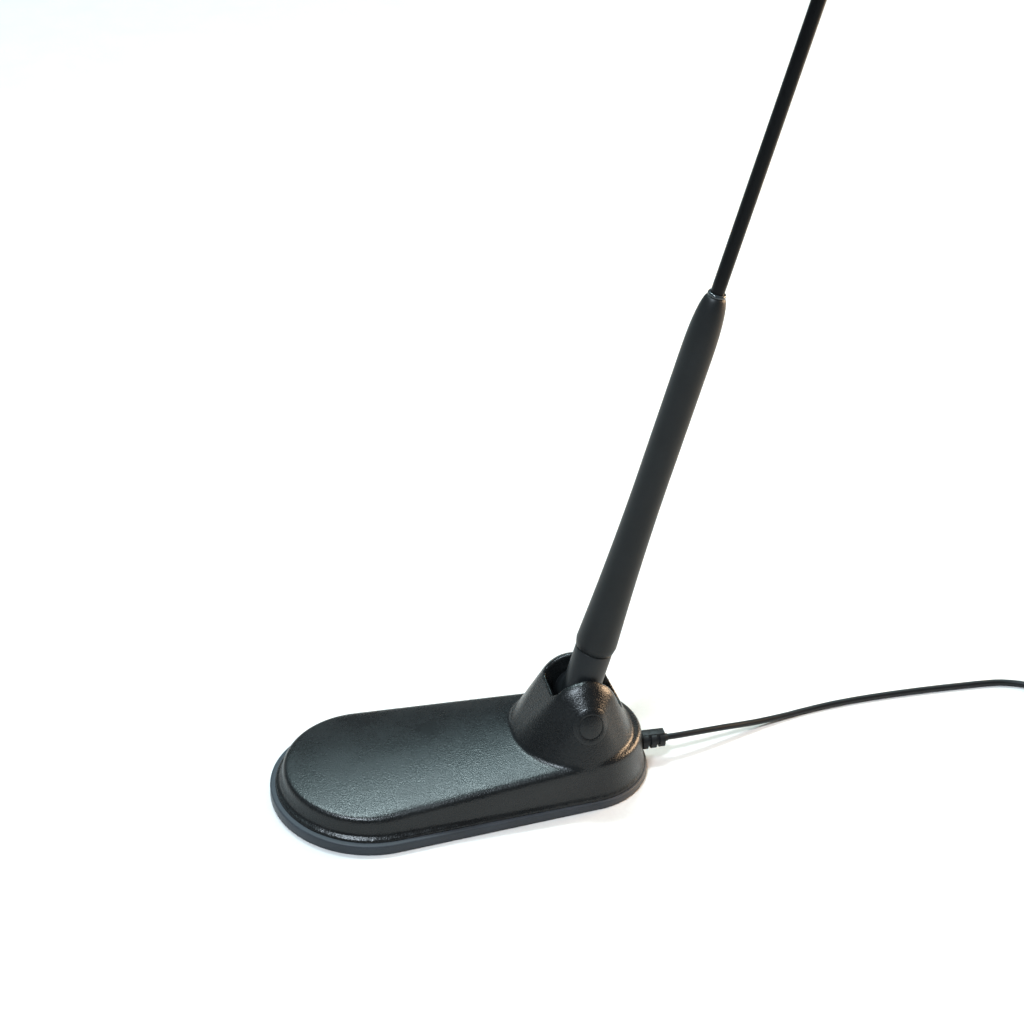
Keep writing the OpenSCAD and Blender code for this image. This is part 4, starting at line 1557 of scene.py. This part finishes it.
@dataclass
class Studio:
    """Camera, floor, lights and sky.

    Attributes:
        azimuth: Camera's degrees round from -Y, over +X.
        elevation: Its degrees above the floor.
        roll: Its turn about its own axis, in degrees.
        distance: Its distance from its aim, in millimetres.
        aim: Where its axis meets the floor.
        lens: Its focal length.
        sensor: Its sensor's width.
        floor_size: Side of the floor, in metres.
        sky: Colour of the even light.
        sky_strength: Its strength.
        lamps: A broad cool light behind, a small one above the camera, a slim one behind for the
            bright edges, and a warm one low at the tail.
    """

    azimuth: float = -14.72
    elevation: float = 33.38
    roll: float = 2.49
    distance: float = 801.372
    aim: Point = (41.388, 127.572, 0.0)
    lens: float = 87.89
    sensor: float = 36.0
    floor_size: float = 12.0
    sky: str = "#f4f6f8"
    sky_strength: float = 0.12
    lamps: tuple[Lamp, ...] = (
        Lamp("sky_behind", 170, 60, 1.7, (0.0, 0.0, 0.015), (1.7, 0.86), 21, "#cdf5fb"),
        Lamp("overhead", -40, 62, 1.2, (0.02, 0.0, 0.03), (0.3, 0.3), 20, "#e6f4ff"),
        Lamp("glint", -172, 67, 1.6, (-0.04, -0.02, 0.01), (0.5, 0.1), 18, "#e6fbff"),
        Lamp("warm_tail", 100, 17, 0.7, (0.03, 0.0, 0.03), (0.4, 0.24), 9, "#ffd9b0"),
    )

    def camera(self) -> None:
        """Place the camera from its azimuth, elevation, roll and distance."""
        a, e, r = (math.radians(v) for v in (self.azimuth, self.elevation, self.roll))
        back = Vector((math.sin(a) * math.cos(e), -math.cos(a) * math.cos(e), math.sin(e)))
        level = Vector((math.cos(a), math.sin(a), 0))
        up = back.cross(level)
        right = level * math.cos(r) + up * math.sin(r)
        up = up * math.cos(r) - level * math.sin(r)
        turn = Matrix((right, up, back)).transposed().to_4x4()
        data = bpy.data.cameras.new("camera")
        data.lens = self.lens
        data.sensor_width = self.sensor
        data.clip_start = 0.01
        data.clip_end = 20
        obj = bpy.data.objects.new("camera", data)
        place = (Vector(self.aim) + back * self.distance) * MM
        obj.matrix_world = Matrix.Translation(place) @ turn
        bpy.context.scene.collection.objects.link(obj)
        bpy.context.scene.camera = obj

    def floor(self) -> None:
        """Lay a wide pale floor."""
        clear_selection()
        bpy.ops.mesh.primitive_plane_add(size=self.floor_size, location=(0, 0, 0))
        obj = bpy.context.object
        obj.name = "floor"
        own_material(obj, PAPER.build())

    def world(self) -> None:
        """Fill with an even, dim, neutral light, and show white as white."""
        world = bpy.data.worlds.new("studio")
        bpy.context.scene.world = world
        world.use_nodes = True
        shade = world.node_tree.nodes["Background"]
        shade.inputs["Color"].default_value = linear(self.sky)
        shade.inputs["Strength"].default_value = self.sky_strength
        bpy.context.scene.view_settings.view_transform = "Standard"

    def build(self) -> None:
        """Set up the camera, the floor, the lights and the world."""
        self.camera()
        self.floor()
        for lamp in self.lamps:
            lamp.hang()
        self.world()


def dress_cad(nodes: dict[str, bpy.types.Object]) -> None:
    """Give every CAD node that stays its own procedural material.

    Args:
        nodes: The CAD nodes by name.
    """
    for finish, names in CAD_FINISHES.items():
        for name in names:
            mesh = nodes[name].data
            if not mesh.materials:
                mesh.materials.append(None)
            for index in range(len(mesh.materials)):
                mesh.materials[index] = finish.build()
            log.info("frame: %s is %s", name, finish.name)


def main() -> None:
    """Build the looks round the frame, in order."""
    logging.basicConfig(level=logging.INFO, format="%(name)s: %(message)s")
    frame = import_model()
    Studio().build()
    Lead().build(frame["nodes"])
    dress_cad(frame["nodes"])
    Foot().build()
    Mast().build()


if __name__ == "__main__":
    main()
